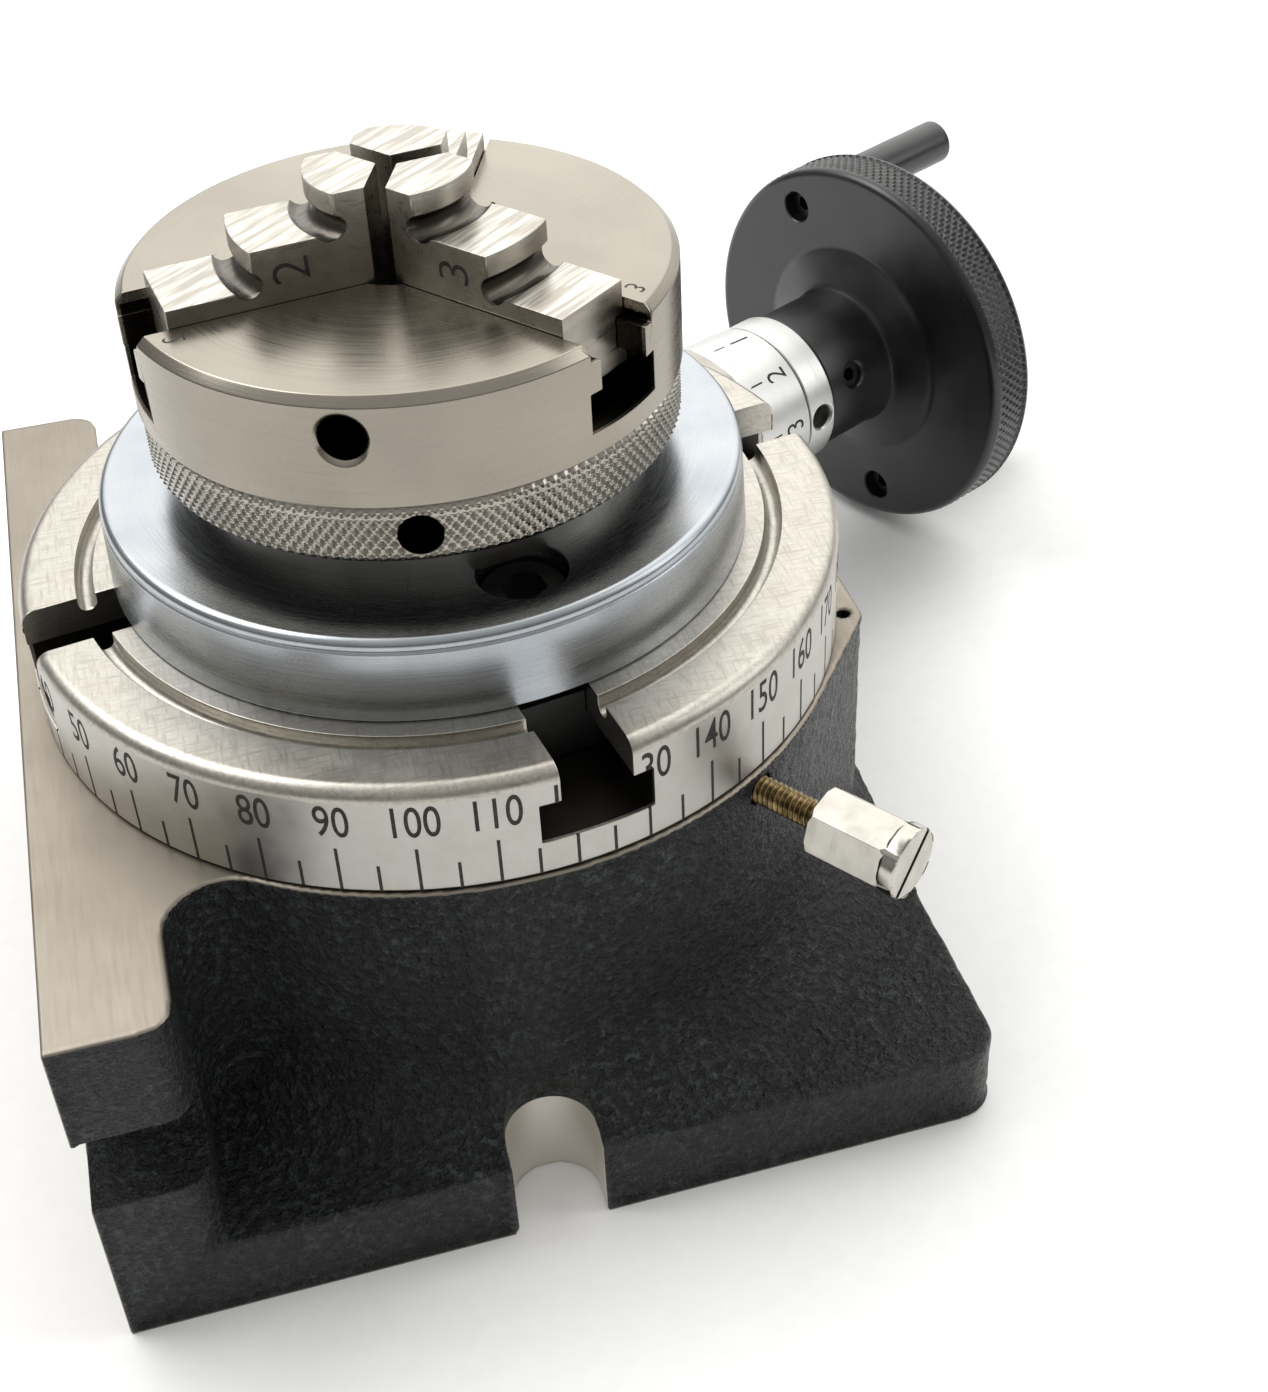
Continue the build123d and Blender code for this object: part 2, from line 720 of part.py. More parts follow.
with BuildPart() as mount_screws:
    for angle in chuck_middle_angles:
        plane = post_plane(mount_screw_circle, angle, upwards=False)
        screw_tip = -(mount_screw_end - 0.3)
        add(socket_screw(plane, screw_tip, -mount_head_top, -table_top - 0.3, screw_radius, screw_head_radius))
save(mount_screws.part, "chuck_mounting_screws")

with BuildPart() as cover_screws:
    for angle in chuck_middle_angles:
        plane = post_plane(cover_screw_circle, angle, upwards=False)
        add(socket_screw(plane, -86.5, -plate_top - 2.4, -plate_top - 0.1, 1.98, 3.3))
save(cover_screws.part, "chuck_cover_screws")

# ---- Chuck body

with BuildPart() as chuck_body:
    with BuildSketch(Plane.XY.offset(body_bottom)):
        Circle(body_radius)
    extrude(amount=body_top - body_bottom)
    chamfer(chuck_body.edges().filter_by(GeomType.CIRCLE).sort_by(Axis.Z)[-1], 1.0)
    cavity_top = body_cavity_top
    add(round_bar(Plane.XY, body_bottom, cavity_top, body_cavity_radius, hub_outer), mode=Mode.SUBTRACT)
    add(round_bar(Plane.XY, cover_top, body_bottom, hub_outer))
    add(round_bar(Plane.XY, cover_top, body_top, chuck_bore), mode=Mode.SUBTRACT)
    slot_steps = (
        (neck_top - slide_gap, body_top, 0, jaw_half + slide_gap),
        (foot_top + slide_gap, neck_top - slide_gap, 0, jaw_neck_half + slide_gap),
        (cavity_top, foot_top + slide_gap, 0, jaw_foot_half + slide_gap),
        (scroll_disc_top + 0.2, cavity_top, hub_outer + 1, jaw_foot_half + slide_gap),
    )
    for angle in jaw_angles:
        for low, high, inner, half in slot_steps:
            with BuildSketch(turned_plane(low, angle)):
                with Locations(((inner + body_radius + 2) / 2, 0)):
                    Rectangle(body_radius + 2 - inner, half * 2)
            extrude(amount=high - low, mode=Mode.SUBTRACT)
    for angle in chuck_middle_angles:
        bar_plane = spoke_plane(angle, body_bar_height)
        add(round_bar(bar_plane, 21, body_radius + 1, bar_hole_radius + 0.1), mode=Mode.SUBTRACT)
        plane = post_plane(cover_screw_circle, angle)
        add(round_bar(plane, cover_top, 87.5, 2.0), mode=Mode.SUBTRACT)
save(chuck_body.part, "chuck_body")

# ---- Scroll ring: knurled rim, disc and the spiral that drives the jaws

quarter_growth = scroll_pitch / 4


# the spiral's edge: quarter turns, each about the next corner of a small square
def scroll_arcs(extra):
    center_x = -quarter_growth / 2
    center_y = quarter_growth / 2
    ends = []
    for quarter in range(scroll_quarters):
        radius = scroll_start + extra + quarter * quarter_growth
        arc = CenterArc((center_x, center_y), radius, quarter * 90, 90)
        ends.append(arc @ 0)
        ends.append(arc @ 1)
        step_x, step_y = polar(quarter_growth, (quarter + 1) * 90)
        center_x -= step_x
        center_y -= step_y
    return ends[0], ends[-1]


with BuildPart() as scroll_ring:
    add(round_bar(Plane.XY, ring_bottom, ring_top, ring_radius))
    chamfer(scroll_ring.edges().filter_by(GeomType.CIRCLE), 0.8)
    add(round_bar(Plane.XY, ring_top, scroll_disc_top, scroll_disc_radius))
    with BuildSketch(Plane.XY.offset(scroll_disc_top)):
        with BuildLine():
            inner_start, inner_end = scroll_arcs(0)
            outer_start, outer_end = scroll_arcs(scroll_ridge)
            Line(inner_start, outer_start)
            Line(inner_end, outer_end)
        make_face()
    extrude(amount=scroll_top - scroll_disc_top)
    bore = hub_outer + running_clearance
    add(round_bar(Plane.XY, ring_bottom, scroll_disc_top, bore), mode=Mode.SUBTRACT)
    for angle in ring_bar_angles:
        bar_plane = spoke_plane(angle, ring_bar_height)
        add(round_bar(bar_plane, 22, ring_radius + 1, bar_hole_radius), mode=Mode.SUBTRACT)
save(scroll_ring.part, "scroll_ring")

# ---- Jaws

# what the lathe takes off above each land, with a round relief at the foot of each riser
with BuildPart() as land_cutter:
    for height, radius in zip(land_heights, land_radii):
        with BuildSketch(Plane.XZ):
            with Locations(((radius + 40) / 2, (height + jaw_top + 2) / 2)):
                Rectangle(40 - radius, jaw_top + 2 - height)
            with Locations((radius + relief_offset, height + relief_offset)):
                Circle(relief_radius)
        revolve(axis=Axis.Z)


def make_jaw(angle):
    with BuildPart() as jaw:
        blocks = (
            (neck_top, jaw_top, jaw_half),
            (foot_top, neck_top, jaw_neck_half),
            (foot_bottom, foot_top, jaw_foot_half),
        )
        for low, high, half in blocks:
            with BuildSketch(turned_plane(low, angle)):
                with Locations((jaw_end / 2, 0)):
                    Rectangle(jaw_end, half * 2)
            extrude(amount=high - low)
        # teeth that sit between the turns of the spiral
        spiral_radius = scroll_start - quarter_growth / 2 + scroll_pitch * angle / 360
        gap_center = spiral_radius + (scroll_ridge - scroll_pitch) / 2
        while gap_center - tooth_thickness / 2 < hub_outer + slide_gap:
            gap_center += scroll_pitch
        while gap_center + tooth_thickness / 2 < jaw_end:
            with BuildSketch(turned_plane(tooth_bottom, angle)):
                Circle(gap_center + tooth_thickness / 2)
                Circle(gap_center - tooth_thickness / 2, mode=Mode.SUBTRACT)
                with Locations((gap_center, 0)):
                    Rectangle(5, tooth_half * 2, mode=Mode.INTERSECT)
            extrude(amount=foot_bottom - tooth_bottom)
            gap_center += scroll_pitch
        add(land_cutter.part, mode=Mode.SUBTRACT)
        # the point where the three jaws meet
        with BuildSketch(turned_plane(tooth_bottom, angle)):
            with BuildLine():
                Polyline(
                    (jaw_tip, 0),
                    (jaw_tip + 10, 10 * math.tan(math.radians(60))),
                    (40, 10 * math.tan(math.radians(60))),
                    (40, -10 * math.tan(math.radians(60))),
                    (jaw_tip + 10, -10 * math.tan(math.radians(60))),
                    close=True,
                )
            make_face()
        extrude(amount=jaw_top - tooth_bottom, mode=Mode.INTERSECT)
    return jaw.part


for number, angle in enumerate(jaw_angles):
    save(make_jaw(angle), "jaw_" + str(number + 1))
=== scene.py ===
import bpy
import bmesh
import math
import numpy as np
from mathutils import Matrix, Vector, noise


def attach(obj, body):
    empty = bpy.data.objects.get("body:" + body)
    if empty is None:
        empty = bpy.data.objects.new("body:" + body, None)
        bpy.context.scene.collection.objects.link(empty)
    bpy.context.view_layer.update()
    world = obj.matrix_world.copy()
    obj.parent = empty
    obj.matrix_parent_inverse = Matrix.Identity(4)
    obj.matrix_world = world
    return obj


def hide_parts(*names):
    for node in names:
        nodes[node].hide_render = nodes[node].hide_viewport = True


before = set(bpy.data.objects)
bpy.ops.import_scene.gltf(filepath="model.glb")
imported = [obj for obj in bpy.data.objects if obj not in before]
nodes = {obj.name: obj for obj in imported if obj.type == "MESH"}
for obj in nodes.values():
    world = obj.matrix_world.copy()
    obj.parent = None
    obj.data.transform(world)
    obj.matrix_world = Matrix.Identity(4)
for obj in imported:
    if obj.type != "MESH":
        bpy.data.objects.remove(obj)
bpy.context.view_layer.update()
mm = 0.001
print("frame loaded,", len(nodes), "nodes")


# each frame's Z is the axis that its pieces are turned about
def axisFrame(origin, xDirection, zDirection):
    z = Vector(zDirection).normalized()
    x = Vector(xDirection)
    x = (x - z * x.dot(z)).normalized()
    y = z.cross(x)
    matrix = Matrix((x, y, z)).transposed().to_4x4()
    matrix.translation = Vector(origin) * mm
    return matrix


def aroundTable(degrees, height=0.0):
    return Matrix.Translation((0, 0, height * mm)) @ Matrix.Rotation(math.radians(degrees), 4, "Z")


def spoke(degrees, height):
    a = math.radians(degrees)
    return axisFrame((0, 0, height), (0, 0, 1), (math.cos(a), math.sin(a), 0))


def polar(radius, degrees):
    return radius * math.cos(math.radians(degrees)), radius * math.sin(math.radians(degrees))


axes = {"wormTurn": 27.0, "wormOffset": 25.0, "wormHeight": 32.4, "lockTurn": -54.5, "lockHeight": 44.7}
upright = Matrix.Identity(4)
wormTurn = math.radians(axes["wormTurn"])
wormFrame = axisFrame(
    (-axes["wormOffset"] * math.sin(wormTurn), axes["wormOffset"] * math.cos(wormTurn), axes["wormHeight"]),
    (0, 0, 1),
    (math.cos(wormTurn), math.sin(wormTurn), 0),
)
lockFrame = spoke(axes["lockTurn"], axes["lockHeight"])


# a frame whose Z looks outwards from the worm's axis, at a station and an angle from the top
def wormSpoke(station, degrees):
    x, y = polar(1, degrees)
    rotation = wormFrame.to_3x3()
    outward = rotation @ Vector((x, y, 0))
    origin = wormFrame @ Vector((0, 0, station * mm))
    return axisFrame(origin / mm, rotation @ Vector((0, 0, 1)), outward)


def colour(code):
    channels = [int(code[i:i + 2], 16) / 255 for i in (1, 3, 5)]
    linear = [c / 12.92 if c <= 0.04045 else ((c + 0.055) / 1.055) ** 2.4 for c in channels]
    return (*linear, 1.0)


# one node with its settings and links; a node given as an input is linked by its first output
def addNode(tree, kind, inputs=None, **settings):
    node = tree.nodes.new(kind)
    for name, value in settings.items():
        setattr(node, name, value)
    for key, value in (inputs or {}).items():
        if isinstance(value, bpy.types.Node):
            value = value.outputs[0]
        if isinstance(value, bpy.types.NodeSocket):
            tree.links.new(value, node.inputs[key])
        else:
            node.inputs[key].default_value = value
    return node


def startMaterial(name):
    material = bpy.data.materials.new(name)
    material.use_nodes = True
    tree = material.node_tree
    tree.nodes.clear()
    place = addNode(tree, "ShaderNodeTexCoord").outputs["Object"]
    return material, tree, place


# x, y and z of a place, and how far it stands from the piece's own Z
def splitPlace(tree, place):
    x, y, z = addNode(tree, "ShaderNodeSeparateXYZ", {"Vector": place}).outputs
    flat = addNode(tree, "ShaderNodeCombineXYZ", {0: x, 1: y})
    radius = addNode(tree, "ShaderNodeVectorMath", {0: flat}, operation="LENGTH").outputs["Value"]
    return x, y, z, radius


# cloudy spots with their size given in millimetres
def grain(tree, place, size, detail=2.0, rough=0.5, stretch=(1, 1, 1)):
    scaled = addNode(tree, "ShaderNodeMapping", {"Vector": place, "Scale": stretch})
    spots = addNode(tree, "ShaderNodeTexNoise", {
        "Vector": scaled, "Scale": 1000 / size, "Detail": detail, "Roughness": rough})
    return spots.outputs["Fac"]


# two tones of one finish, mixed by cloudy spots that turn from one to the other between low and high
def twoTone(tree, spots, low, high, first, second):
    share = addNode(tree, "ShaderNodeMapRange", {"Value": spots, "From Min": low, "From Max": high})
    mixed = addNode(tree, "ShaderNodeMix", {0: share, 6: colour(first), 7: colour(second)}, data_type="RGBA")
    return mixed.outputs[2]


# Cast iron under thick black crinkle enamel: a pebbled, half-gloss skin on near black, with bright specks painted
# into its colour as painted glints.
# Its top, foot, bores and front slots are machined bare: a warm light grey with a faint one-way lay.
# The crinkle and the lay are drawn coarser than the real ones, which would be too fine to show.
def makeCasting():
    look = {"paint": "#0a0c0d", "paintedGlint": "#4a5254", "bare": "#989186", "bareDark": "#80796f",
            "slot": "#d9d5cd", "pebble": 1.1, "dust": 0.45, "patch": 14, "lay": 0.5,
            "top": 47.8, "under": 0.2, "foot": -52.9, "bore": 26.2, "slotMiddle": -1.8,
            "slotHalf": 5.45, "slotFront": -50.5, "slotBack": 55.1, "slotTop": 12.5}
    material, tree, place = startMaterial("crinkle enamel on cast iron")
    pebbles = grain(tree, place, look["pebble"], 4.0, 0.7)
    dust = grain(tree, place, look["dust"], 2.0, 0.6)
    patches = grain(tree, place, look["patch"])
    # painted glints: bright specks mixed into the paint colour, stronger in some patches than others
    glintSpecks = addNode(tree, "ShaderNodeMapRange", {"Value": pebbles, "From Min": 0.5, "From Max": 0.72})
    worn = addNode(tree, "ShaderNodeMapRange", {
        "Value": patches, "From Min": 0.35, "From Max": 0.65, "To Min": 0.35})
    glintShare = addNode(tree, "ShaderNodeMath", {0: glintSpecks, 1: worn}, operation="MULTIPLY")
    paintColour = addNode(tree, "ShaderNodeMix", {
        0: glintShare, 6: colour(look["paint"]), 7: colour(look["paintedGlint"])}, data_type="RGBA").outputs[2]
    coarse = addNode(tree, "ShaderNodeBump", {"Height": pebbles, "Strength": 1.0, "Distance": 0.0014})
    fine = addNode(tree, "ShaderNodeBump", {
        "Height": dust, "Strength": 0.8, "Distance": 0.00028, "Normal": coarse})
    gloss = addNode(tree, "ShaderNodeMapRange", {
        "Value": dust, "From Min": 0.35, "From Max": 0.65, "To Min": 0.14, "To Max": 0.48})
    paint = addNode(tree, "ShaderNodeBsdfPrincipled", {
        "Base Color": paintColour, "IOR": 1.45, "Normal": fine, "Specular IOR Level": 0.5, "Roughness": gloss})

    x, y, z, radius = splitPlace(tree, place)
    fromSlot = addNode(tree, "ShaderNodeMath", {0: x, 1: -look["slotMiddle"] * mm}, operation="ADD")
    fromSlot = addNode(tree, "ShaderNodeMath", {0: fromSlot}, operation="ABSOLUTE")
    limits = {"top": (z, "GREATER_THAN"), "under": (z, "LESS_THAN"), "foot": (x, "LESS_THAN"),
              "bore": (radius, "LESS_THAN"), "slotHalf": (fromSlot, "LESS_THAN"),
              "slotFront": (y, "LESS_THAN"), "slotBack": (y, "GREATER_THAN"), "slotTop": (z, "LESS_THAN")}
    zones = {name: addNode(tree, "ShaderNodeMath", {0: value, 1: look[name] * mm}, operation=side)
             for name, (value, side) in limits.items()}
    slot = addNode(tree, "ShaderNodeMath", {0: zones["slotFront"], 1: zones["slotBack"]}, operation="MAXIMUM")
    for name in ("slotHalf", "slotTop"):
        slot = addNode(tree, "ShaderNodeMath", {0: slot, 1: zones[name]}, operation="MULTIPLY")
    machined = slot
    for name in ("top", "under", "foot", "bore"):
        machined = addNode(tree, "ShaderNodeMath", {0: machined, 1: zones[name]}, operation="MAXIMUM")

    lay = grain(tree, place, look["lay"], 2.0, 0.6, (1, 0.06, 1))
    bareColour = twoTone(tree, grain(tree, place, 9, 3.0), 0.0, 1.0, look["bareDark"], look["bare"])
    # painted light: the front slot walls get a lighter bare colour than the other machined faces
    bareColour = addNode(tree, "ShaderNodeMix", {
        0: slot, 6: bareColour, 7: colour(look["slot"])}, data_type="RGBA").outputs[2]
    scratch = addNode(tree, "ShaderNodeBump", {"Height": lay, "Strength": 0.12, "Distance": 0.00003})
    satin = addNode(tree, "ShaderNodeMapRange", {
        "Value": lay, "From Min": 0.3, "From Max": 0.7, "To Min": 0.38, "To Max": 0.5})
    bare = addNode(tree, "ShaderNodeBsdfPrincipled", {
        "Base Color": bareColour, "Metallic": 1.0, "Normal": scratch, "Roughness": satin})
    skin = addNode(tree, "ShaderNodeMixShader", {0: machined, 1: paint, 2: bare})
    addNode(tree, "ShaderNodeOutputMaterial", {"Surface": skin})
    return material


# Bare metal off a lathe: the tool leaves rings on a face and lines round a side, which stretch the
# highlights. They are drawn coarser than the real feed marks. Inside a hollow the colour is darkened as painted
# shade.
def makeMetal(name, tint, dark, rough, laySize=0.3, fan=0.0, bump=0.1, mottle=9.0, hollow=None):
    look = {"oil": "#26221d", "drift": 0.02, "ringHeight": 0.00004, "spread": 0.04}
    material, tree, place = startMaterial(name)
    x, y, z, radius = splitPlace(tree, place)
    drift = addNode(tree, "ShaderNodeMath", {0: x, 1: y}, operation="ADD")
    drift = addNode(tree, "ShaderNodeMath", {0: drift, 1: look["drift"]}, operation="MULTIPLY")
    lay = addNode(tree, "ShaderNodeCombineXYZ", {0: radius, 1: drift, 2: z})
    rings = grain(tree, lay, laySize, 2.0, 0.6)
    tone = twoTone(tree, grain(tree, place, mottle), 0.3, 0.7, dark, tint)
    # painted shade: a darker colour inside the given radius and below the given height
    if hollow:
        within = addNode(tree, "ShaderNodeMath", {0: radius, 1: hollow[0] * mm}, operation="LESS_THAN")
        below = addNode(tree, "ShaderNodeMath", {0: z, 1: hollow[1] * mm}, operation="LESS_THAN")
        shadedInside = addNode(tree, "ShaderNodeMath", {0: within, 1: below}, operation="MULTIPLY")
        tone = addNode(tree, "ShaderNodeMix", {
            0: shadedInside, 6: tone, 7: colour(look["oil"])}, data_type="RGBA").outputs[2]
    lines = addNode(tree, "ShaderNodeBump", {
        "Height": rings, "Strength": bump, "Distance": look["ringHeight"]})
    satin = addNode(tree, "ShaderNodeMapRange", {
        "Value": rings, "From Min": 0.3, "From Max": 0.7,
        "To Min": rough - look["spread"], "To Max": rough + look["spread"]})
    inputs = {"Base Color": tone, "Metallic": 1.0, "Normal": lines, "Roughness": satin}
    if fan > 0:
        inputs["Anisotropic"] = fan
        inputs["Tangent"] = addNode(tree, "ShaderNodeTangent", direction_type="RADIAL", axis="Z")
    metal = addNode(tree, "ShaderNodeBsdfPrincipled", inputs)
    addNode(tree, "ShaderNodeOutputMaterial", {"Surface": metal})
    return material


# Table iron: a ground top with fine scratches crossing both ways, drawn coarser than real, and a paler,
# duller degree band round its side. The slots and undersides are darkened as painted shade.
def makeTable():
    look = {"ground": "#b5b1a9", "groundDark": "#9f9b93", "band": "#bfbdb8", "bandDark": "#aeaba5",
            "hollow": "#3b3833", "scratch": 0.45, "cloud": 5.0, "bandRadius": 49.85, "bandTop": 60.9,
            "hollowRadius": 49.5, "hollowTop": 57.9}
    material, tree, place = startMaterial("ground table iron with satin band")
    x, y, z, radius = splitPlace(tree, place)
    outside = addNode(tree, "ShaderNodeMath", {0: radius, 1: look["bandRadius"] * mm}, operation="GREATER_THAN")
    under = addNode(tree, "ShaderNodeMath", {0: z, 1: look["bandTop"] * mm}, operation="LESS_THAN")
    onBand = addNode(tree, "ShaderNodeMath", {0: outside, 1: under}, operation="MULTIPLY")
    cross = grain(tree, place, look["scratch"], 2.0, 0.7, (1, 0.12, 1))
    counter = grain(tree, place, look["scratch"], 2.0, 0.7, (0.12, 1, 1))
    scratches = addNode(tree, "ShaderNodeMath", {0: cross, 1: counter}, operation="MAXIMUM")
    cloud = grain(tree, place, look["cloud"], 4.0, 0.6)
    ground = twoTone(tree, scratches, 0.45, 0.7, look["ground"], look["groundDark"])
    band = twoTone(tree, cloud, 0.3, 0.7, look["bandDark"], look["band"])
    tone = addNode(tree, "ShaderNodeMix", {0: onBand, 6: ground, 7: band}, data_type="RGBA").outputs[2]
    # painted shade: a darker colour in the slots and under the table
    within = addNode(tree, "ShaderNodeMath", {0: radius, 1: look["hollowRadius"] * mm}, operation="LESS_THAN")
    below = addNode(tree, "ShaderNodeMath", {0: z, 1: look["hollowTop"] * mm}, operation="LESS_THAN")
    shadedInside = addNode(tree, "ShaderNodeMath", {0: within, 1: below}, operation="MULTIPLY")
    tone = addNode(tree, "ShaderNodeMix", {
        0: shadedInside, 6: tone, 7: colour(look["hollow"])}, data_type="RGBA").outputs[2]
    softer = addNode(tree, "ShaderNodeMath", {0: onBand, 1: 0.3}, operation="MULTIPLY")
    strength = addNode(tree, "ShaderNodeMath", {0: 0.35, 1: softer}, operation="SUBTRACT")
    lines = addNode(tree, "ShaderNodeBump", {"Height": scratches, "Strength": strength, "Distance": 0.00005})
    satin = addNode(tree, "ShaderNodeMapRange", {
        "Value": cloud, "From Min": 0.3, "From Max": 0.7, "To Min": 0.3, "To Max": 0.42})
    duller = addNode(tree, "ShaderNodeMath", {0: onBand, 1: 0.08}, operation="MULTIPLY")
    rough = addNode(tree, "ShaderNodeMath", {0: satin, 1: duller}, operation="ADD")
    iron = addNode(tree, "ShaderNodeBsdfPrincipled", {
        "Base Color": tone, "Metallic": 1.0, "Normal": lines, "Roughness": rough})
    addNode(tree, "ShaderNodeOutputMaterial", {"Surface": iron})
    return material


# Blackened steel: a deep blue-black oxide skin, satin, with a slight cloudiness from handling.
def makeBlackened(name, base, high, rough):
    look = {"cloud": 7.0, "fine": 0.3, "skinHeight": 0.00003}
    material, tree, place = startMaterial(name)
    cloud = grain(tree, place, look["cloud"], 4.0, 0.6)
    fine = grain(tree, place, look["fine"], 2.0, 0.6)
    tone = twoTone(tree, cloud, 0.35, 0.65, base, high)
    skin = addNode(tree, "ShaderNodeBump", {"Height": fine, "Strength": 0.15, "Distance": look["skinHeight"]})
    satin = addNode(tree, "ShaderNodeMapRange", {
        "Value": cloud, "From Min": 0.3, "From Max": 0.7, "To Min": rough - 0.05, "To Max": rough + 0.08})
    oxide = addNode(tree, "ShaderNodeBsdfPrincipled", {
        "Base Color": tone, "IOR": 1.6, "Normal": skin, "Specular IOR Level": 0.5, "Roughness": satin})
    addNode(tree, "ShaderNodeOutputMaterial", {"Surface": oxide})
    return material


# Ink and paint rubbed into engraved marks: flat, slightly brown black that has worn a little unevenly.
def makeFill():
    look = {"ink": "#1b1716", "worn": "#3c3531", "wear": 0.5}
    material, tree, place = startMaterial("black etched fill")
    tone = twoTone(tree, grain(tree, place, look["wear"], 3.0, 0.6), 0.35, 0.75, look["ink"], look["worn"])
    ink = addNode(tree, "ShaderNodeBsdfPrincipled", {"Base Color": tone, "Roughness": 0.7, "IOR": 1.45})
    addNode(tree, "ShaderNodeOutputMaterial", {"Surface": ink})
    return material


# Jaw steel: plain ground sides, top faces with the diagonal streaks of a face mill, drawn coarser than
# real, and painted shade in the round reliefs where one step meets the next.
def makeJawSteel():
    look = {"light": "#a09b92", "dark": "#8d8880", "streak": "#cfccc5", "shadow": "#3a352e",
            "streakSize": 0.9, "streakTurn": 52, "cloud": 4.0, "reliefOffset": 0.6,
            "reliefs": ((100.9, 18.4), (105.4, 9.4))}
    material, tree, place = startMaterial("face-milled jaw steel")
    normal = addNode(tree, "ShaderNodeNewGeometry").outputs["Normal"]
    facing = addNode(tree, "ShaderNodeSeparateXYZ", {"Vector": normal}).outputs["Z"]
    top = addNode(tree, "ShaderNodeMath", {0: facing, 1: 0.9}, operation="GREATER_THAN")
    skewed = addNode(tree, "ShaderNodeMapping", {
        "Vector": place, "Rotation": (0, 0, math.radians(look["streakTurn"]))})
    streaks = grain(tree, skewed, look["streakSize"], 2.0, 0.65, (1, 0.08, 1))
    side = twoTone(tree, grain(tree, place, look["cloud"], 3.0, 0.5), 0.3, 0.7, look["dark"], look["light"])
    milled = twoTone(tree, streaks, 0.4, 0.62, look["light"], look["streak"])
    tone = addNode(tree, "ShaderNodeMix", {0: top, 6: side, 7: milled}, data_type="RGBA").outputs[2]
    x, y, z, radius = splitPlace(tree, place)
    for land, riser in look["reliefs"]:
        squares = []
        for value, corner in ((radius, riser), (z, land)):
            gap = addNode(tree, "ShaderNodeMath", {
                0: value, 1: (corner + look["reliefOffset"]) * mm}, operation="SUBTRACT")
            squares.append(addNode(tree, "ShaderNodeMath", {0: gap, 1: gap}, operation="MULTIPLY"))
        away = addNode(tree, "ShaderNodeMath", {0: squares[0], 1: squares[1]}, operation="ADD")
        away = addNode(tree, "ShaderNodeMath", {0: away}, operation="SQRT")
        # painted shade: darker in the relief, towards its round corner
        oily = addNode(tree, "ShaderNodeMapRange", {
            "Value": away, "From Min": 0.00148, "From Max": 0.00162, "To Min": 0.8, "To Max": 0.0})
        tone = addNode(tree, "ShaderNodeMix", {
            0: oily, 6: tone, 7: colour(look["shadow"])}, data_type="RGBA").outputs[2]
    lines = addNode(tree, "ShaderNodeBump", {"Height": streaks, "Strength": 0.4, "Distance": 0.00006})
    satin = addNode(tree, "ShaderNodeMapRange", {
        "Value": streaks, "From Min": 0.3, "From Max": 0.7, "To Min": 0.24, "To Max": 0.4})
    steel = addNode(tree, "ShaderNodeBsdfPrincipled", {
        "Base Color": tone, "Metallic": 1.0, "Normal": lines, "Roughness": satin})
    addNode(tree, "ShaderNodeOutputMaterial", {"Surface": steel})
    return material


castingSkin = makeCasting()
tableIron = makeTable()
jawSteel = makeJawSteel()
# fine-turned steel: cool and bright, its rings draw the light out into two fans
plateSteel = makeMetal("fine-turned plate steel", "#aeb2b6", "#9da2a8", 0.27, 0.15, 0.55, 0.05)
# hardened, ground steel: warmer and greyer, with a weak fan and painted shade in its bore, slots and underside
chuckSteel = makeMetal("ground chuck steel", "#989287", "#8e887e", 0.27, 0.25, 0.15, 0.12, 14.0, (31.1, 97.5))
# bare steel, dull, darkened all over as painted shade for the shadowed gap under the ring
shadedCoverSteel = makeMetal("oil-darkened cover steel", "#8b8882", "#75726c", 0.4)
# knurled steel: the rolled points glint one by one; its inside and underside are darkened with painted shade
ringSteel = makeMetal("knurled ring steel", "#aca79e", "#9c978e", 0.24, 0.4, 0.0, 0.05, 9.0, (30.5, 100))
shaftSteel = makeMetal("turned shaft steel", "#b9b6b0", "#98948d", 0.3)
# anodised aluminium: pale and even, silky rather than shiny
dialMetal = makeMetal("satin anodised dial", "#cfcfcd", "#c4c4c2", 0.36, 0.25, 0.3, 0.08)
# nickel over steel: bright, with soft waves from the plating
nickel = makeMetal("nickel-plated lock steel", "#bfbcb4", "#aca9a1", 0.22, 0.9, 0.0, 0.2, 2.5)
# zinc with a yellow chromate: brassy on the crests, brown where dirt has settled
studBrass = makeMetal("yellow-plated stud", "#9a8760", "#5a4c33", 0.35, 0.4, 0.0, 0.1, 1.2)
# bearing bronze: reddish gold, satin
bronze = makeMetal("turned bearing bronze", "#b4874e", "#8d6637", 0.32)
blackWheel = makeBlackened("blackened handwheel steel", "#08080a", "#111216", 0.32)
blackScrew = makeBlackened("black oxide screws", "#0c0c0c", "#1a1918", 0.4)
fill = makeFill()
print("materials made")


# points in millimetres, placed by a frame
def newPiece(name, points, faces, place):
    mesh = bpy.data.meshes.new(name)
    mesh.from_pydata([tuple(c * mm for c in p) for p in points], [], faces)
    mesh.validate()
    piece = bpy.data.objects.new(name, mesh)
    bpy.context.scene.collection.objects.link(piece)
    piece.matrix_world = place
    return piece


# a closed profile of (radius, height) in millimetres, turned about the frame's Z
def turned(name, profile, place=upright, steps=192, relief=None):
    points = []
    for step in range(steps):
        angle = 2 * math.pi * step / steps
        for radius, height in profile:
            r = radius - (relief(angle, radius, height) if relief else 0)
            points.append((r * math.cos(angle), r * math.sin(angle), height))
    count = len(profile)
    faces = []
    for step in range(steps):
        after = (step + 1) % steps
        for i in range(count):
            j = (i + 1) % count
            if profile[i][0] < 1e-6 and profile[j][0] < 1e-6:
                continue
            faces.append((step * count + i, after * count + i, after * count + j, step * count + j))
    piece = newPiece(name, points, faces, place)
    tidyMesh(piece.data)
    return piece


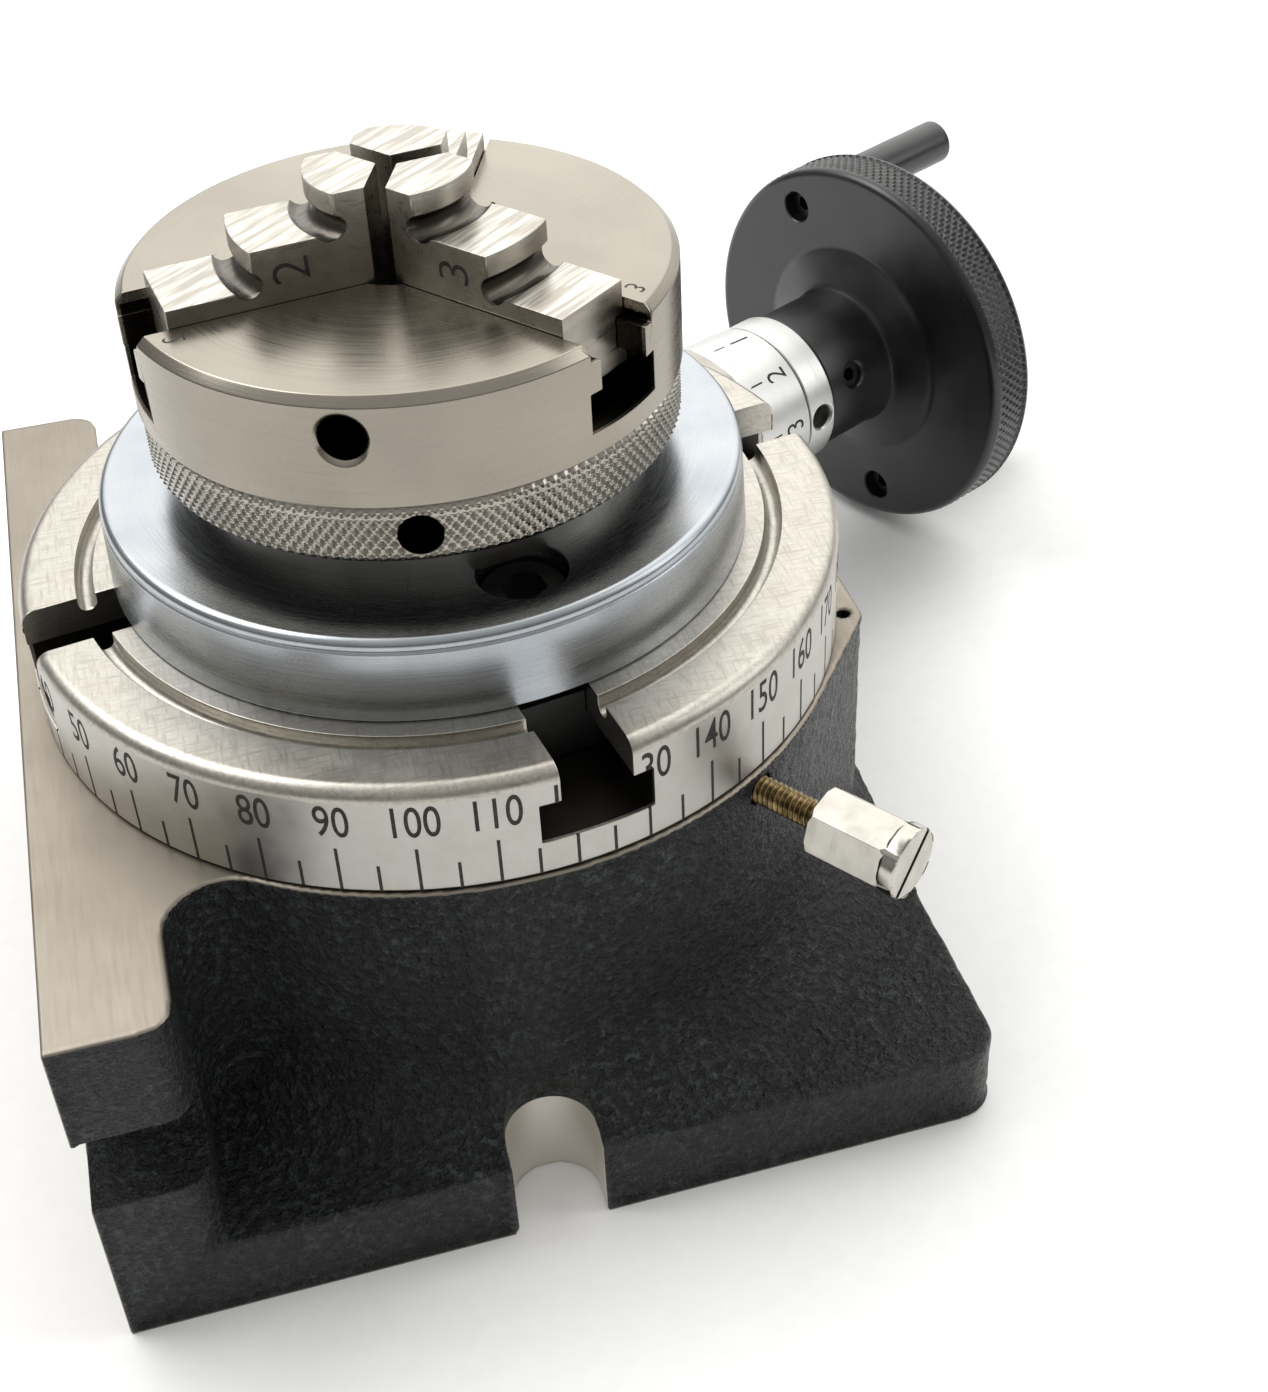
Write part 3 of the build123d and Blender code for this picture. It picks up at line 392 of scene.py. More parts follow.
def tidyMesh(mesh, merge=0.000002):
    work = bmesh.new()
    work.from_mesh(mesh)
    bmesh.ops.remove_doubles(work, verts=work.verts, dist=merge)
    bmesh.ops.dissolve_degenerate(work, edges=work.edges, dist=merge / 2)
    bmesh.ops.recalc_face_normals(work, faces=work.faces)
    work.to_mesh(mesh)
    work.free()


# an outline in the frame's XY, from one height to another
def prism(name, outline, low, high, place=upright):
    count = len(outline)
    points = [(x, y, low) for x, y in outline] + [(x, y, high) for x, y in outline]
    faces = [tuple(reversed(range(count))), tuple(range(count, 2 * count))]
    faces += [(i, (i + 1) % count, (i + 1) % count + count, i + count) for i in range(count)]
    piece = newPiece(name, points, faces, place)
    tidyMesh(piece.data)
    return piece


def block(xLow, xHigh, yHalf):
    return [(xLow, -yHalf), (xHigh, -yHalf), (xHigh, yHalf), (xLow, yHalf)]


def arc(centerR, centerZ, radius, start, end, count=7):
    turns = [start + (end - start) * i / (count - 1) for i in range(count)]
    return [(centerR + polar(radius, a)[0], centerZ + polar(radius, a)[1]) for a in turns]


def applyModifiers(piece):
    bpy.context.view_layer.update()
    graph = bpy.context.evaluated_depsgraph_get()
    mesh = bpy.data.meshes.new_from_object(piece.evaluated_get(graph))
    piece.modifiers.clear()
    piece.data = mesh
    return piece


def carve(piece, cutters, operation="DIFFERENCE"):
    for cutter in cutters:
        tool = piece.modifiers.new("cut", "BOOLEAN")
        tool.operation = operation
        tool.solver = "EXACT"
        tool.object = cutter
    applyModifiers(piece)
    for cutter in cutters:
        bpy.data.objects.remove(cutter)
    tidyMesh(piece.data, 0.000004)
    return piece


# small broken edges catch the light, then everything flatter than the angle shades smooth
def breakEdges(piece, width=0.12, angle=35, segments=2):
    if width > 0:
        edge = piece.modifiers.new("edge", "BEVEL")
        edge.width = width * mm
        edge.segments = segments
        edge.limit_method = "ANGLE"
        edge.angle_limit = math.radians(angle)
        edge.use_clamp_overlap = False
        edge.miter_outer = "MITER_ARC"
        applyModifiers(piece)
    work = bmesh.new()
    work.from_mesh(piece.data)
    for face in work.faces:
        face.smooth = True
    for line in work.edges:
        line.smooth = line.is_manifold and line.calc_face_angle(0) < math.radians(angle)
    work.to_mesh(piece.data)
    work.free()
    weigh = piece.modifiers.new("weigh", "WEIGHTED_NORMAL")
    weigh.keep_sharp = True
    applyModifiers(piece)
    return piece


def dress(piece, material, body, slot, *replaced):
    piece.data.materials.clear()
    piece.data.materials.append(material)
    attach(piece, body)
    if replaced:
        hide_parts(*replaced)
    return piece


def joinPieces(name, pieces):
    work = bmesh.new()
    for piece in pieces:
        start = len(work.verts)
        work.from_mesh(piece.data)
        work.verts.ensure_lookup_table()
        bmesh.ops.transform(work, matrix=piece.matrix_world, verts=work.verts[start:])
    mesh = bpy.data.meshes.new(name)
    work.to_mesh(mesh)
    work.free()
    for piece in pieces:
        bpy.data.objects.remove(piece)
    whole = bpy.data.objects.new(name, mesh)
    bpy.context.scene.collection.objects.link(whole)
    return whole


# characters as a thin solid; lay(x, y, z) puts each point where it belongs, in millimetres
def lettering(name, text, height, widthFactor, weight, lay):
    curve = bpy.data.curves.new(name, "FONT")
    curve.body = text
    curve.size = height / 0.73
    curve.align_x = "CENTER"
    curve.align_y = "CENTER"
    curve.extrude = 0.08
    curve.offset = weight
    curve.resolution_u = 5
    holder = bpy.data.objects.new(name, curve)
    bpy.context.scene.collection.objects.link(holder)
    bpy.context.view_layer.update()
    mesh = bpy.data.meshes.new_from_object(holder.evaluated_get(bpy.context.evaluated_depsgraph_get()))
    bpy.data.objects.remove(holder)
    work = bmesh.new()
    work.from_mesh(mesh)
    for strip in range(-8, 9):
        parts = list(work.verts) + list(work.edges) + list(work.faces)
        bmesh.ops.bisect_plane(work, geom=parts, plane_co=(strip * 0.5, 0, 0), plane_no=(1, 0, 0))
    for vertex in work.verts:
        x, y, z = vertex.co
        vertex.co = Vector(lay(x * widthFactor, y, z)) * mm
    work.to_mesh(mesh)
    work.free()
    piece = bpy.data.objects.new(name, mesh)
    bpy.context.scene.collection.objects.link(piece)
    tidyMesh(mesh, 0.000001)
    return piece


# two sets of crossing V-grooves, as a knurling tool rolls them
def knurl(starts, rowHeight, depth, radius, low, high):
    def relief(angle, r, height):
        if r < radius - 0.01 or height < low or height > high:
            return 0
        turn = angle * starts / (2 * math.pi)
        climb = (height - low) / rowHeight
        ridges = [abs((turn + side * climb) % 1 - 0.5) * 2 for side in (-1, 1)]
        return depth * max(ridges)
    return relief


castingShape = {"voxel": 0.55, "pebble": 0.26, "pebbleSize": 1.7, "wave": 0.2, "waveSize": 8.0,
                "paintTop": 47.4, "paintLow": 0.5, "foot": -52.5, "bore": 27, "slotMiddle": -1.8, "slotHalf": 6.2,
                "slotFront": -49.5, "slotBack": 54.2, "wormFace": 67.4, "fade": 0.8}


# how thick the paint lies at a point: none on machined faces, and thinning towards the top edge
def paintedDepth(p):
    s = castingShape
    x, y, z = p.x / mm, p.y / mm, p.z / mm
    radius = math.hypot(x, y)
    if z > s["paintTop"] or z < s["paintLow"] or x < s["foot"] or radius < s["bore"]:
        return 0
    if abs(x - s["slotMiddle"]) < s["slotHalf"] and (y < s["slotFront"] or y > s["slotBack"]):
        return 0
    along = (p - wormFrame.translation).dot(wormFrame.to_3x3() @ Vector((0, 0, 1))) / mm
    if along > s["wormFace"]:
        return 0
    return min(1.0, (s["paintTop"] - z) / s["fade"])


def makeCastingShell():
    mesh = nodes["base_casting"].data.copy()
    shell = bpy.data.objects.new("castingShell", mesh)
    bpy.context.scene.collection.objects.link(shell)
    coarse = shell.modifiers.new("grid", "REMESH")
    coarse.mode = "VOXEL"
    coarse.voxel_size = castingShape["voxel"] * mm * 1.0
    coarse.use_smooth_shade = True
    wrap = shell.modifiers.new("wrap", "SHRINKWRAP")
    wrap.target = nodes["base_casting"]
    wrap.wrap_method = "NEAREST_SURFACEPOINT"
    applyModifiers(shell)
    work = bmesh.new()
    work.from_mesh(shell.data)
    work.normal_update()
    moves = []
    for vertex in work.verts:
        share = paintedDepth(vertex.co)
        if share == 0:
            moves.append(None)
            continue
        pebble = noise.noise(vertex.co / (castingShape["pebbleSize"] * mm))
        wave = noise.noise(vertex.co / (castingShape["waveSize"] * mm) + Vector((7, 3, 5)))
        depth = castingShape["pebble"] * (0.5 + 0.5 * pebble) + castingShape["wave"] * (0.5 + 0.5 * wave)
        moves.append(vertex.normal * (-depth * share * mm))
    for vertex, move in zip(work.verts, moves):
        if move is not None:
            vertex.co += move
    work.to_mesh(shell.data)
    work.free()
    return dress(shell, castingSkin, "base", "black_painted_casting", "base_casting")


makeCastingShell()
print("casting made")


tableShape = {"radius": 50.0, "bottom": 48.2, "top": 62.6, "round": 1.8, "slotAngle": 279.3,
              "slotInner": 13, "neckHalf": 4.2, "footHalf": 6.7, "footLow": 52.6, "footHigh": 58.0}
slotAngles = [tableShape["slotAngle"] + 90 * i for i in range(4)]


def slotCutters():
    s = tableShape
    neck, foot = [block(s["slotInner"], s["radius"] + 4, s[half]) for half in ("neckHalf", "footHalf")]
    cutters = []
    for angle in slotAngles:
        place = aroundTable(angle)
        cutters.append(prism("neck", neck, s["footHigh"] - 0.1, s["top"] + 1.4, place))
        cutters.append(prism("foot", foot, s["footLow"], s["footHigh"], place))
    return cutters


def makeTableDisc():
    s = tableShape
    rim = arc(s["radius"] - s["round"], s["top"] - s["round"], s["round"], 0, 90, 8)
    groove = arc(42.05, s["top"] - 1.05, 1.05, 0, -180, 10)
    profile = [(7.5, 14), (12, 14), (12, 28.4), (13, 28.4), (13, 37.5), (17.5, 37.5), (17.5, s["bottom"]),
               (s["radius"] - 0.25, s["bottom"]), (s["radius"], s["bottom"] + 0.25)]
    profile += rim + [(43.1, s["top"])] + groove + [(41.0, s["top"]), (9, s["top"]), (9, 56), (7.5, 56)]
    disc = turned("tableDisc", profile, steps=256)
    carve(disc, slotCutters())
    breakEdges(disc, 0.14)
    return dress(disc, tableIron, "table", "ground_table_iron", "table")


makeTableDisc()

# degree band: a long mark every 10 degrees with its number over it, a short one every 5
bandShape = {"phase": 156.18, "figureHeight": 4.5, "figureMiddle": 58.1, "longTop": 54.5, "shortTop": 52.1,
             "markWidth": 0.38, "markBottom": 48.35}


def makeBand():
    radius = tableShape["radius"]
    s = bandShape
    pieces = []
    for degree in range(0, 360, 5):
        turn = s["phase"] + degree
        top = s["longTop"] if degree % 10 == 0 else s["shortTop"]
        half = s["markWidth"] / 2
        outline = [(radius - 0.2, -half), (radius + 0.012, -half), (radius + 0.012, half), (radius - 0.2, half)]
        pieces.append(prism("mark", outline, s["markBottom"], top, aroundTable(turn)))
        if degree % 10 == 0:
            def lay(x, y, z, turn=turn):
                px, py = polar(radius - 0.07 + z, turn + math.degrees(x / radius))
                return px, py, s["figureMiddle"] + y
            pieces.append(lettering("figure", str(degree), s["figureHeight"], 0.66, 0.03, lay))
    band = joinPieces("degreeFigures", pieces)
    carve(band, slotCutters())
    return dress(band, fill, "table", "black_oxide_screws")


makeBand()
print("table made")


plateShape = {"radius": 38.7, "topRadius": 38.33, "low": 62.6, "high": 73.3, "screwCircle": 29.4,
              "mountCircle": 20.0}
plateScrewAngles = (281.0, 101.0)
barAngles = (8.0, 128.0, 248.0)


def makePlate():
    s = plateShape
    high = s["high"]
    r = s["topRadius"]
    profile = [(6, 57), (8.95, 57), (8.95, s["low"]), (s["radius"] - 0.2, s["low"]), (s["radius"], s["low"] + 0.2),
               (r + 0.06, high - 1.75), (r - 0.14, high - 1.6), (r - 0.12, high - 1.45), (r + 0.02, high - 1.3)]
    profile += arc(r - 1.1, high - 1.1, 1.1, 0, 90, 9) + [(6, high)]
    plate = turned("backPlate", profile, steps=256)
    cutters = []
    for angle in plateScrewAngles:
        x, y = polar(s["screwCircle"], angle)
        seat = Matrix.Translation((x * mm, y * mm, 0))
        hole = [(0, 62), (3.25, 62), (3.25, 65.8), (5.2, 65.8), (5.2, 73.15), (5.35, 73.4), (5.35, 75), (0, 75)]
        cutters.append(turned("seat", hole, seat, 96))
    for angle in barAngles:
        x, y = polar(s["mountCircle"], angle)
        seat = Matrix.Translation((x * mm, y * mm, 0))
        hole = [(0, 62), (4.4, 62), (4.4, 67.8), (2.75, 67.8), (2.75, 75), (0, 75)]
        cutters.append(turned("seat", hole, seat, 48))
    carve(plate, cutters)
    breakEdges(plate, 0.1)
    return dress(plate, plateSteel, "table", "turned_plate_steel", "back_plate")


makePlate()


# a socket-head screw: ribbed head, hexagon socket
capShape = {"shank": 3.0, "end": 53.2, "seat": 65.8, "head": 5.0, "top": 71.2, "ribs": 36, "ribDepth": 0.12,
            "socket": 2.75, "socketFloor": 68.2}


def makeCapScrews():
    s = capShape
    pieces = []
    for angle in plateScrewAngles:
        x, y = polar(plateShape["screwCircle"], angle)
        place = Matrix.Translation((x * mm, y * mm, 0)) @ Matrix.Rotation(math.radians(angle), 4, "Z")
        rows = [(0, s["end"]), (s["shank"] - 0.3, s["end"]), (s["shank"], s["end"] + 0.4), (s["shank"], s["seat"])]
        rows += [(s["head"], s["seat"] + 0.4 * i) for i in range(13)]
        rows += [(s["head"] - 0.4, s["top"]), (0, s["top"])]

        def ribs(turn, radius, height):
            if radius < s["head"] - 0.1 or not s["seat"] + 0.1 < height < s["top"] - 0.7:
                return 0
            return s["ribDepth"] * abs(math.sin(turn * s["ribs"] / 2))
        screw = turned("capScrew", rows, place, 144, ribs)
        hexagon = [polar(s["socket"], 60 * i) for i in range(6)]
        carve(screw, [prism("socket", hexagon, s["socketFloor"], s["top"] + 0.8, place)])
        pieces.append(breakEdges(screw, 0.0))
    screws = joinPieces("plateCapScrews", pieces)
    return dress(screws, blackScrew, "table", "black_oxide_screws", "plate_screws")


makeCapScrews()
print("plate made")


chuckShape = {"radius": 31.6, "low": 85.5, "high": 98.8, "bore": 7.5, "barHeight": 94.0, "barRadius": 2.6}
jawAngles = (68.0, 188.0, 308.0)


def makeChuckBody():
    s = chuckShape
    profile = [(s["bore"], 78.1), (12.5, 78.1), (12.5, 90.8), (29, 90.8), (29, s["low"]),
               (s["radius"] - 0.2, s["low"]), (s["radius"], s["low"] + 0.2), (s["radius"], s["high"] - 1),
               (s["radius"] - 1, s["high"]), (s["bore"], s["high"])]
    body = turned("chuckBody", profile, steps=256)
    cutters = []
    cross = [(90.8, -5.6), (93.2, -5.6), (93.2, -3.9), (96.8, -3.9), (96.8, -5.3), (99.5, -5.3),
             (99.5, 5.3), (96.8, 5.3), (96.8, 3.9), (93.2, 3.9), (93.2, 5.6), (90.8, 5.6)]
    for angle in jawAngles:
        along = spoke(angle, 0)
        cutters.append(prism("slot", cross, 0, 36, along))
        cutters.append(prism("toothWay", block(88.3, 90.85, 5.6), 13.5, 36, along))
    for angle in barAngles:
        r = s["barRadius"]
        hole = [(0, 21), (r, 21), (r, 31.0), (r + 0.7, 31.7), (r + 0.7, 34), (0, 34)]
        cutters.append(turned("barHole", hole, spoke(angle, s["barHeight"]), 64))
    carve(body, cutters)
    breakEdges(body, 0.13)
    return dress(body, chuckSteel, "table", "ground_chuck_steel", "chuck_body")


makeChuckBody()

ringShape = {"radius": 31.3, "low": 78.2, "high": 85.4, "starts": 146, "rowHeight": 1.65, "depth": 0.42,
             "barAngles": (260.5, 20.5, 140.5), "barHeight": 81.6}


# the scroll's thread, drawn as quarter circles whose radius grows by 1 mm each, for a pitch of 4 mm
def spiralEdge(extra):
    points = []
    x, y = -0.5, 0.5
    for quarter in range(14):
        radius = 13.3 + extra + quarter
        for turn in range(0, 90, 6):
            alongX, alongY = polar(radius, quarter * 90 + turn)
            points.append((x + alongX, y + alongY))
        stepX, stepY = polar(1.0, (quarter + 1) * 90)
        x, y = x - stepX, y - stepY
    return points


def makeScrollRing():
    s = ringShape
    rows = 34
    low, high = s["low"] + 0.75, s["high"] - 0.75
    band = [(s["radius"], low + (high - low) * i / rows) for i in range(rows + 1)]
    profile = [(12.55, s["low"]), (s["radius"] - 0.75, s["low"])] + band
    profile += [(s["radius"] - 0.75, s["high"]), (28.7, s["high"]), (28.7, 88.1), (12.55, 88.1)]
    relief = knurl(s["starts"], s["rowHeight"], s["depth"], s["radius"], low, high)
    ring = turned("scrollRing", profile, steps=s["starts"] * 6, relief=relief)
    cutters = []
    for angle in s["barAngles"]:
        hole = [(0, 22), (2.5, 22), (2.5, 30.9), (2.9, 31.4), (2.9, 33), (0, 33)]
        cutters.append(turned("barHole", hole, spoke(angle, s["barHeight"]), 64))
    carve(ring, cutters)
    breakEdges(ring, 0.0, 25)
    inner, outer = spiralEdge(0), spiralEdge(1.4)
    count = len(inner)
    points = [(x, y, z) for z in (88.0, 90.5) for x, y in inner + outer]
    faces = [(0, count, 3 * count, 2 * count), (count - 1, 3 * count - 1, 4 * count - 1, 2 * count - 1)]
    for i in range(count - 1):
        a, b, c, d = i, i + 1, count + i + 1, count + i
        faces += [(a, b, c, d), tuple(k + 2 * count for k in (d, c, b, a)),
                  (a, a + 2 * count, b + 2 * count, b), (d, c, c + 2 * count, d + 2 * count)]
    spiral = newPiece("spiral", points, faces, upright)
    tidyMesh(spiral.data)
    breakEdges(spiral, 0.0)
    whole = joinPieces("knurledScrollRing", [ring, spiral])
    return dress(whole, ringSteel, "scroll", "knurled_ring_steel", "scroll_ring")


makeScrollRing()

jawShape = {"end": 27.5, "top": 109.9, "tip": 1.3, "lands": ((100.9, 18.4), (105.4, 9.4)),
            "relief": 1.45, "offset": 0.6, "pitch": 4, "toothHalf": 0.85}


def landCutter(land, riser):
    s = jawShape
    start = math.degrees(math.atan2(-s["offset"], math.sqrt(s["relief"] ** 2 - s["offset"] ** 2)))
    hollow = arc(riser + s["offset"], land + s["offset"], s["relief"], start, start - 221, 14)
    profile = [(45, s["top"] + 3), (45, land)] + hollow + [(riser, s["top"] + 3)]
    return turned("landCutter", profile, upright, 160)


def makeJaw(number, angle):
    s = jawShape
    along = spoke(angle, 0)
    cross = [(90.9, -5.5), (93.1, -5.5), (93.1, -3.8), (96.9, -3.8), (96.9, -5.2), (s["top"], -5.2),
             (s["top"], 5.2), (96.9, 5.2), (96.9, 3.8), (93.1, 3.8), (93.1, 5.5), (90.9, 5.5)]
    jaw = prism("jaw", cross, 0, s["end"], along)
    carve(jaw, [landCutter(land, riser) for land, riser in s["lands"]])
    wedge = [(s["tip"], 0), (s["tip"] + 10, 17.32), (40, 17.32), (40, -17.32), (s["tip"] + 10, -17.32)]
    carve(jaw, [prism("wedge", list(reversed(wedge)), 80, 120, aroundTable(angle))], "INTERSECT")
    breakEdges(jaw, 0.16)
    teeth = []
    half = s["toothHalf"]
    middle = 12.8 + s["pitch"] * angle / 360 - 1.3
    while middle < 13.45:
        middle += s["pitch"]
    while middle + half < s["end"]:
        inner = [(math.sqrt((middle - half) ** 2 - y * y), y) for y in np.linspace(-2.5, 2.5, 9)]
        outer = [(math.sqrt((middle + half) ** 2 - y * y), y) for y in np.linspace(2.5, -2.5, 9)]
        teeth.append(breakEdges(prism("tooth", inner + outer, 88.5, 91.2, aroundTable(angle)), 0.1))
        middle += s["pitch"]
    whole = joinPieces("steppedJaw%d" % number, [jaw] + teeth)
    return dress(whole, jawSteel, "jaw_body_%d" % number, "milled_jaw_steel", "jaw_%d" % number)


for index, jawAngle in enumerate(jawAngles):
    makeJaw(index + 1, jawAngle)


# numbers engraved on one side of each jaw, and small ones beside the slots they belong in
numberShape = {"height": 4.4, "along": 13.2, "up": 102.3, "depth": 0.07,
               "slotHeight": 2.6, "slotAlong": 27.3, "slotAside": 7.6}


def makeJawNumbers():
    s = numberShape
    for number, angle in enumerate(jawAngles, 1):
        side = -1 if number == 3 else 1
        place = aroundTable(angle)

        def lay(x, y, z):
            across = (5.2 - s["depth"] + z) * side
            return (place @ (Vector((s["along"] + y * side, across, s["up"] + x)) * mm)) / mm
        stamp = lettering("jawNumber%d" % number, str(number), s["height"], 1.1, -0.06, lay)
        dress(stamp, fill, "jaw_body_%d" % number, "black_oxide_screws")

        def layFace(x, y, z):
            height = chuckShape["high"] - s["depth"] + z
            return (place @ (Vector((s["slotAlong"] + y, s["slotAside"] + x, height)) * mm)) / mm
        mark = lettering("slotNumber%d" % number, str(number), s["slotHeight"], 0.9, -0.03, layFace)
        dress(mark, fill, "table", "black_oxide_screws")


makeJawNumbers()
print("chuck made")


# 54 divisions: a long mark and a number every sixth, a middling one every third
dialShape = {"start": 70.8, "end": 82.1, "nearRadius": 13.0, "farRadius": 12.3, "divisions": 54, "first": -40.0,
             "longEnd": 75.35, "middleEnd": 72.9, "shortEnd": 72.2, "markHalf": 0.14, "figures": 78.7}


def makeDial():
    s = dialShape
    profile = [(8.05, s["start"]), (s["nearRadius"] - 0.3, s["start"]), (s["nearRadius"], s["start"] + 0.3),
               (s["farRadius"], s["end"] - 0.2), (s["farRadius"] - 0.2, s["end"]), (8.05, s["end"])]
    ring = breakEdges(turned("dialRing", profile, wormFrame), 0.08, 20)
    dress(ring, dialMetal, "dial", "satin_dial_metal", "dial_ring")

    def radiusAt(station):
        share = (station - s["start"]) / (s["end"] - s["start"])
        return s["nearRadius"] + (s["farRadius"] - s["nearRadius"]) * share
    pieces = []
    for division in range(s["divisions"]):
        turn = s["first"] + division * 360 / s["divisions"]
        end = s["longEnd"] if division % 6 == 0 else s["middleEnd"] if division % 3 == 0 else s["shortEnd"]
        half = s["markHalf"]
        x1, x2 = radiusAt(s["start"] + 0.3), radiusAt(end)
        points = []
        for station, radius in ((s["start"] + 0.3, x1), (end, x2)):
            points += [(radius - 0.15, -half, station), (radius + 0.012, -half, station),
                       (radius + 0.012, half, station), (radius - 0.15, half, station)]
        faces = [(0, 1, 2, 3), (7, 6, 5, 4), (0, 4, 5, 1), (1, 5, 6, 2), (2, 6, 7, 3), (3, 7, 4, 0)]
        pieces.append(newPiece("mark", points, faces, wormFrame @ Matrix.Rotation(math.radians(turn), 4, "Z")))
        if division % 6 == 0:
            def lay(x, y, z, turn=turn):
                station = s["figures"] - y
                radius = radiusAt(station)
                px, py = polar(radius - 0.07 + z, turn - math.degrees(x / radius))
                return (wormFrame @ (Vector((px, py, station)) * mm)) / mm
            pieces.append(lettering("figure", str(division // 6), 4.0, 0.8, -0.02, lay))
    figures = joinPieces("dialFigures", pieces)
    tidyMesh(figures.data, 0.000001)
    return dress(figures, fill, "dial", "black_oxide_screws")


makeDial()


collarShape = {"bore": 5.02, "sleeve": 8, "radius": 12.2, "start": 70.7, "step": 82.3, "end": 87.7,
               "holeStation": 85.0, "holeAngle": 86.0, "holeRadius": 1.92}


def makeCollar():
    s = collarShape
    edge = s["radius"] - 0.2
    profile = [(s["bore"], s["start"]), (s["sleeve"], s["start"]), (s["sleeve"], s["step"])]
    profile += [(edge, s["step"]), (s["radius"], s["step"] + 0.2), (s["radius"], s["end"] - 0.2)]
    profile += [(edge, s["end"]), (s["bore"], s["end"])]
    collar = turned("dialCollar", profile, wormFrame)
    r = s["holeRadius"]
    hole = [(0, 4), (r, 4), (r, 11.7), (2.4, 12.3), (2.4, 14), (0, 14)]
    carve(collar, [turned("hole", hole, wormSpoke(s["holeStation"], s["holeAngle"]), 48)])
    breakEdges(collar, 0.08)
    return dress(collar, dialMetal, "worm", "satin_dial_metal", "dial_collar")


makeCollar()


wheelShape = {"radius": 30.7, "front": 104.8, "back": 113.3, "starts": 130, "rowHeight": 1.7, "depth": 0.36,
              "bore": 5.02, "hub": 11.5, "grubStation": 93.6, "grubAngle": 68.0}
crankAngles = (-31.0, 165.0)
crankShape = {"circle": 25.0, "radius": 3.6, "start": 113.3, "end": 139.3, "screw": 1.52, "screwEnd": 125}


def makeHandwheel():
    s = wheelShape
    rows = 30
    low, high = s["front"] + 1.5, s["back"] - 1.25
    band = [(s["radius"], low + (high - low) * i / rows) for i in range(rows + 1)]
    bore, hub = s["bore"], s["hub"]
    profile = [(bore, 87.9), (hub - 0.6, 87.9), (hub, 88.5), (hub, 101.0), (11.8, 101.9), (12.6, 102.4)]
    profile += [(16.6, 103.9), (17.3, 104.5), (18.2, s["front"]), (29.2, s["front"])]
    profile += arc(29.2, s["front"] + 1.4, 1.4, -78, -8, 6) + band
    profile += arc(29.5, s["back"] - 1.2, 1.2, 8, 90, 6)
    profile += [(20.5, s["back"]), (19.5, s["back"] - 3), (12.5, s["back"] - 3)]
    profile += [(hub, s["back"]), (bore, s["back"])]
    relief = knurl(s["starts"], s["rowHeight"], s["depth"], s["radius"], low, high)
    wheel = turned("handwheelRim", profile, wormFrame, s["starts"] * 6, relief)
    cutters = []
    for angle in crankAngles:
        x, y = polar(crankShape["circle"], angle)
        place = wormFrame @ Matrix.Translation((x * mm, y * mm, 0))
        hole = [(0, 103), (2.9, 103), (2.9, 104.6), (2.5, 105.0), (2.5, 109.8), (1.6, 109.8), (1.6, 115), (0, 115)]
        cutters.append(turned("hole", hole, place, 48))
    hole = [(0, 4), (2.02, 4), (2.02, 11.0), (2.6, 11.7), (2.6, 14), (0, 14)]
    cutters.append(turned("hole", hole, wormSpoke(s["grubStation"], s["grubAngle"]), 48))
    carve(wheel, cutters)
    breakEdges(wheel, 0.0, 24)
    return dress(wheel, blackWheel, "worm", "black_handwheel", "handwheel")


makeHandwheel()


def makeCranks():
    s = crankShape
    r = s["radius"]
    for number, angle in enumerate(crankAngles, 1):
        x, y = polar(s["circle"], angle)
        place = wormFrame @ Matrix.Translation((x * mm, y * mm, 0))
        profile = [(s["screw"], s["start"]), (r - 0.5, s["start"]), (r, s["start"] + 0.5)]
        profile += [(r, s["start"] + 0.5 + 0.8 * i) for i in range(1, 31)]
        profile += [(r, s["end"] - 0.4), (r - 0.4, s["end"]), (0, s["end"])]
        profile += [(0, s["screwEnd"]), (s["screw"], s["screwEnd"])]
        handle = turned("crankHandle%d" % number, profile, place, 64)
        breakEdges(handle, 0.05)
        dress(handle, blackWheel, "worm", "black_handwheel", "crank_handle_%d" % number)


makeCranks()
print("handwheel made")


# threaded stud and slotted hexagon head
lockShape = {"pitch": 0.7, "crest": 1.75, "root": 1.4, "start": 23.0, "head": 59.0, "hexEnd": 68.9,
             "end": 70.8, "flats": 8.0, "turn": 44.0, "collar": 4.4, "slotTurn": 134.0}


def makeStud():
    s = lockShape
    around = 32
    rows = int((s["head"] - s["start"]) / s["pitch"] * 8)
    points, faces = [], []
    for row in range(rows + 1):
        z = s["start"] + (s["head"] - s["start"]) * row / rows
        for step in range(around):
            phase = (z / s["pitch"] - step / around) % 1
            height = 1 - abs(phase - 0.5) * 2
            r = s["root"] + (s["crest"] - s["root"]) * min(1, height * 1.3)
            points.append((*polar(r, 360 * step / around), z))
    for row in range(rows):
        for step in range(around):
            after = (step + 1) % around
            faces.append((row * around + step, row * around + after,
                          (row + 1) * around + after, (row + 1) * around + step))
    faces += [tuple(reversed(range(around))), tuple(range(rows * around, (rows + 1) * around))]
    stud = newPiece("lockStud", points, faces, lockFrame)
    breakEdges(stud, 0.0, 50)
    return dress(stud, studBrass, "lock_body", "bearing_bronze")


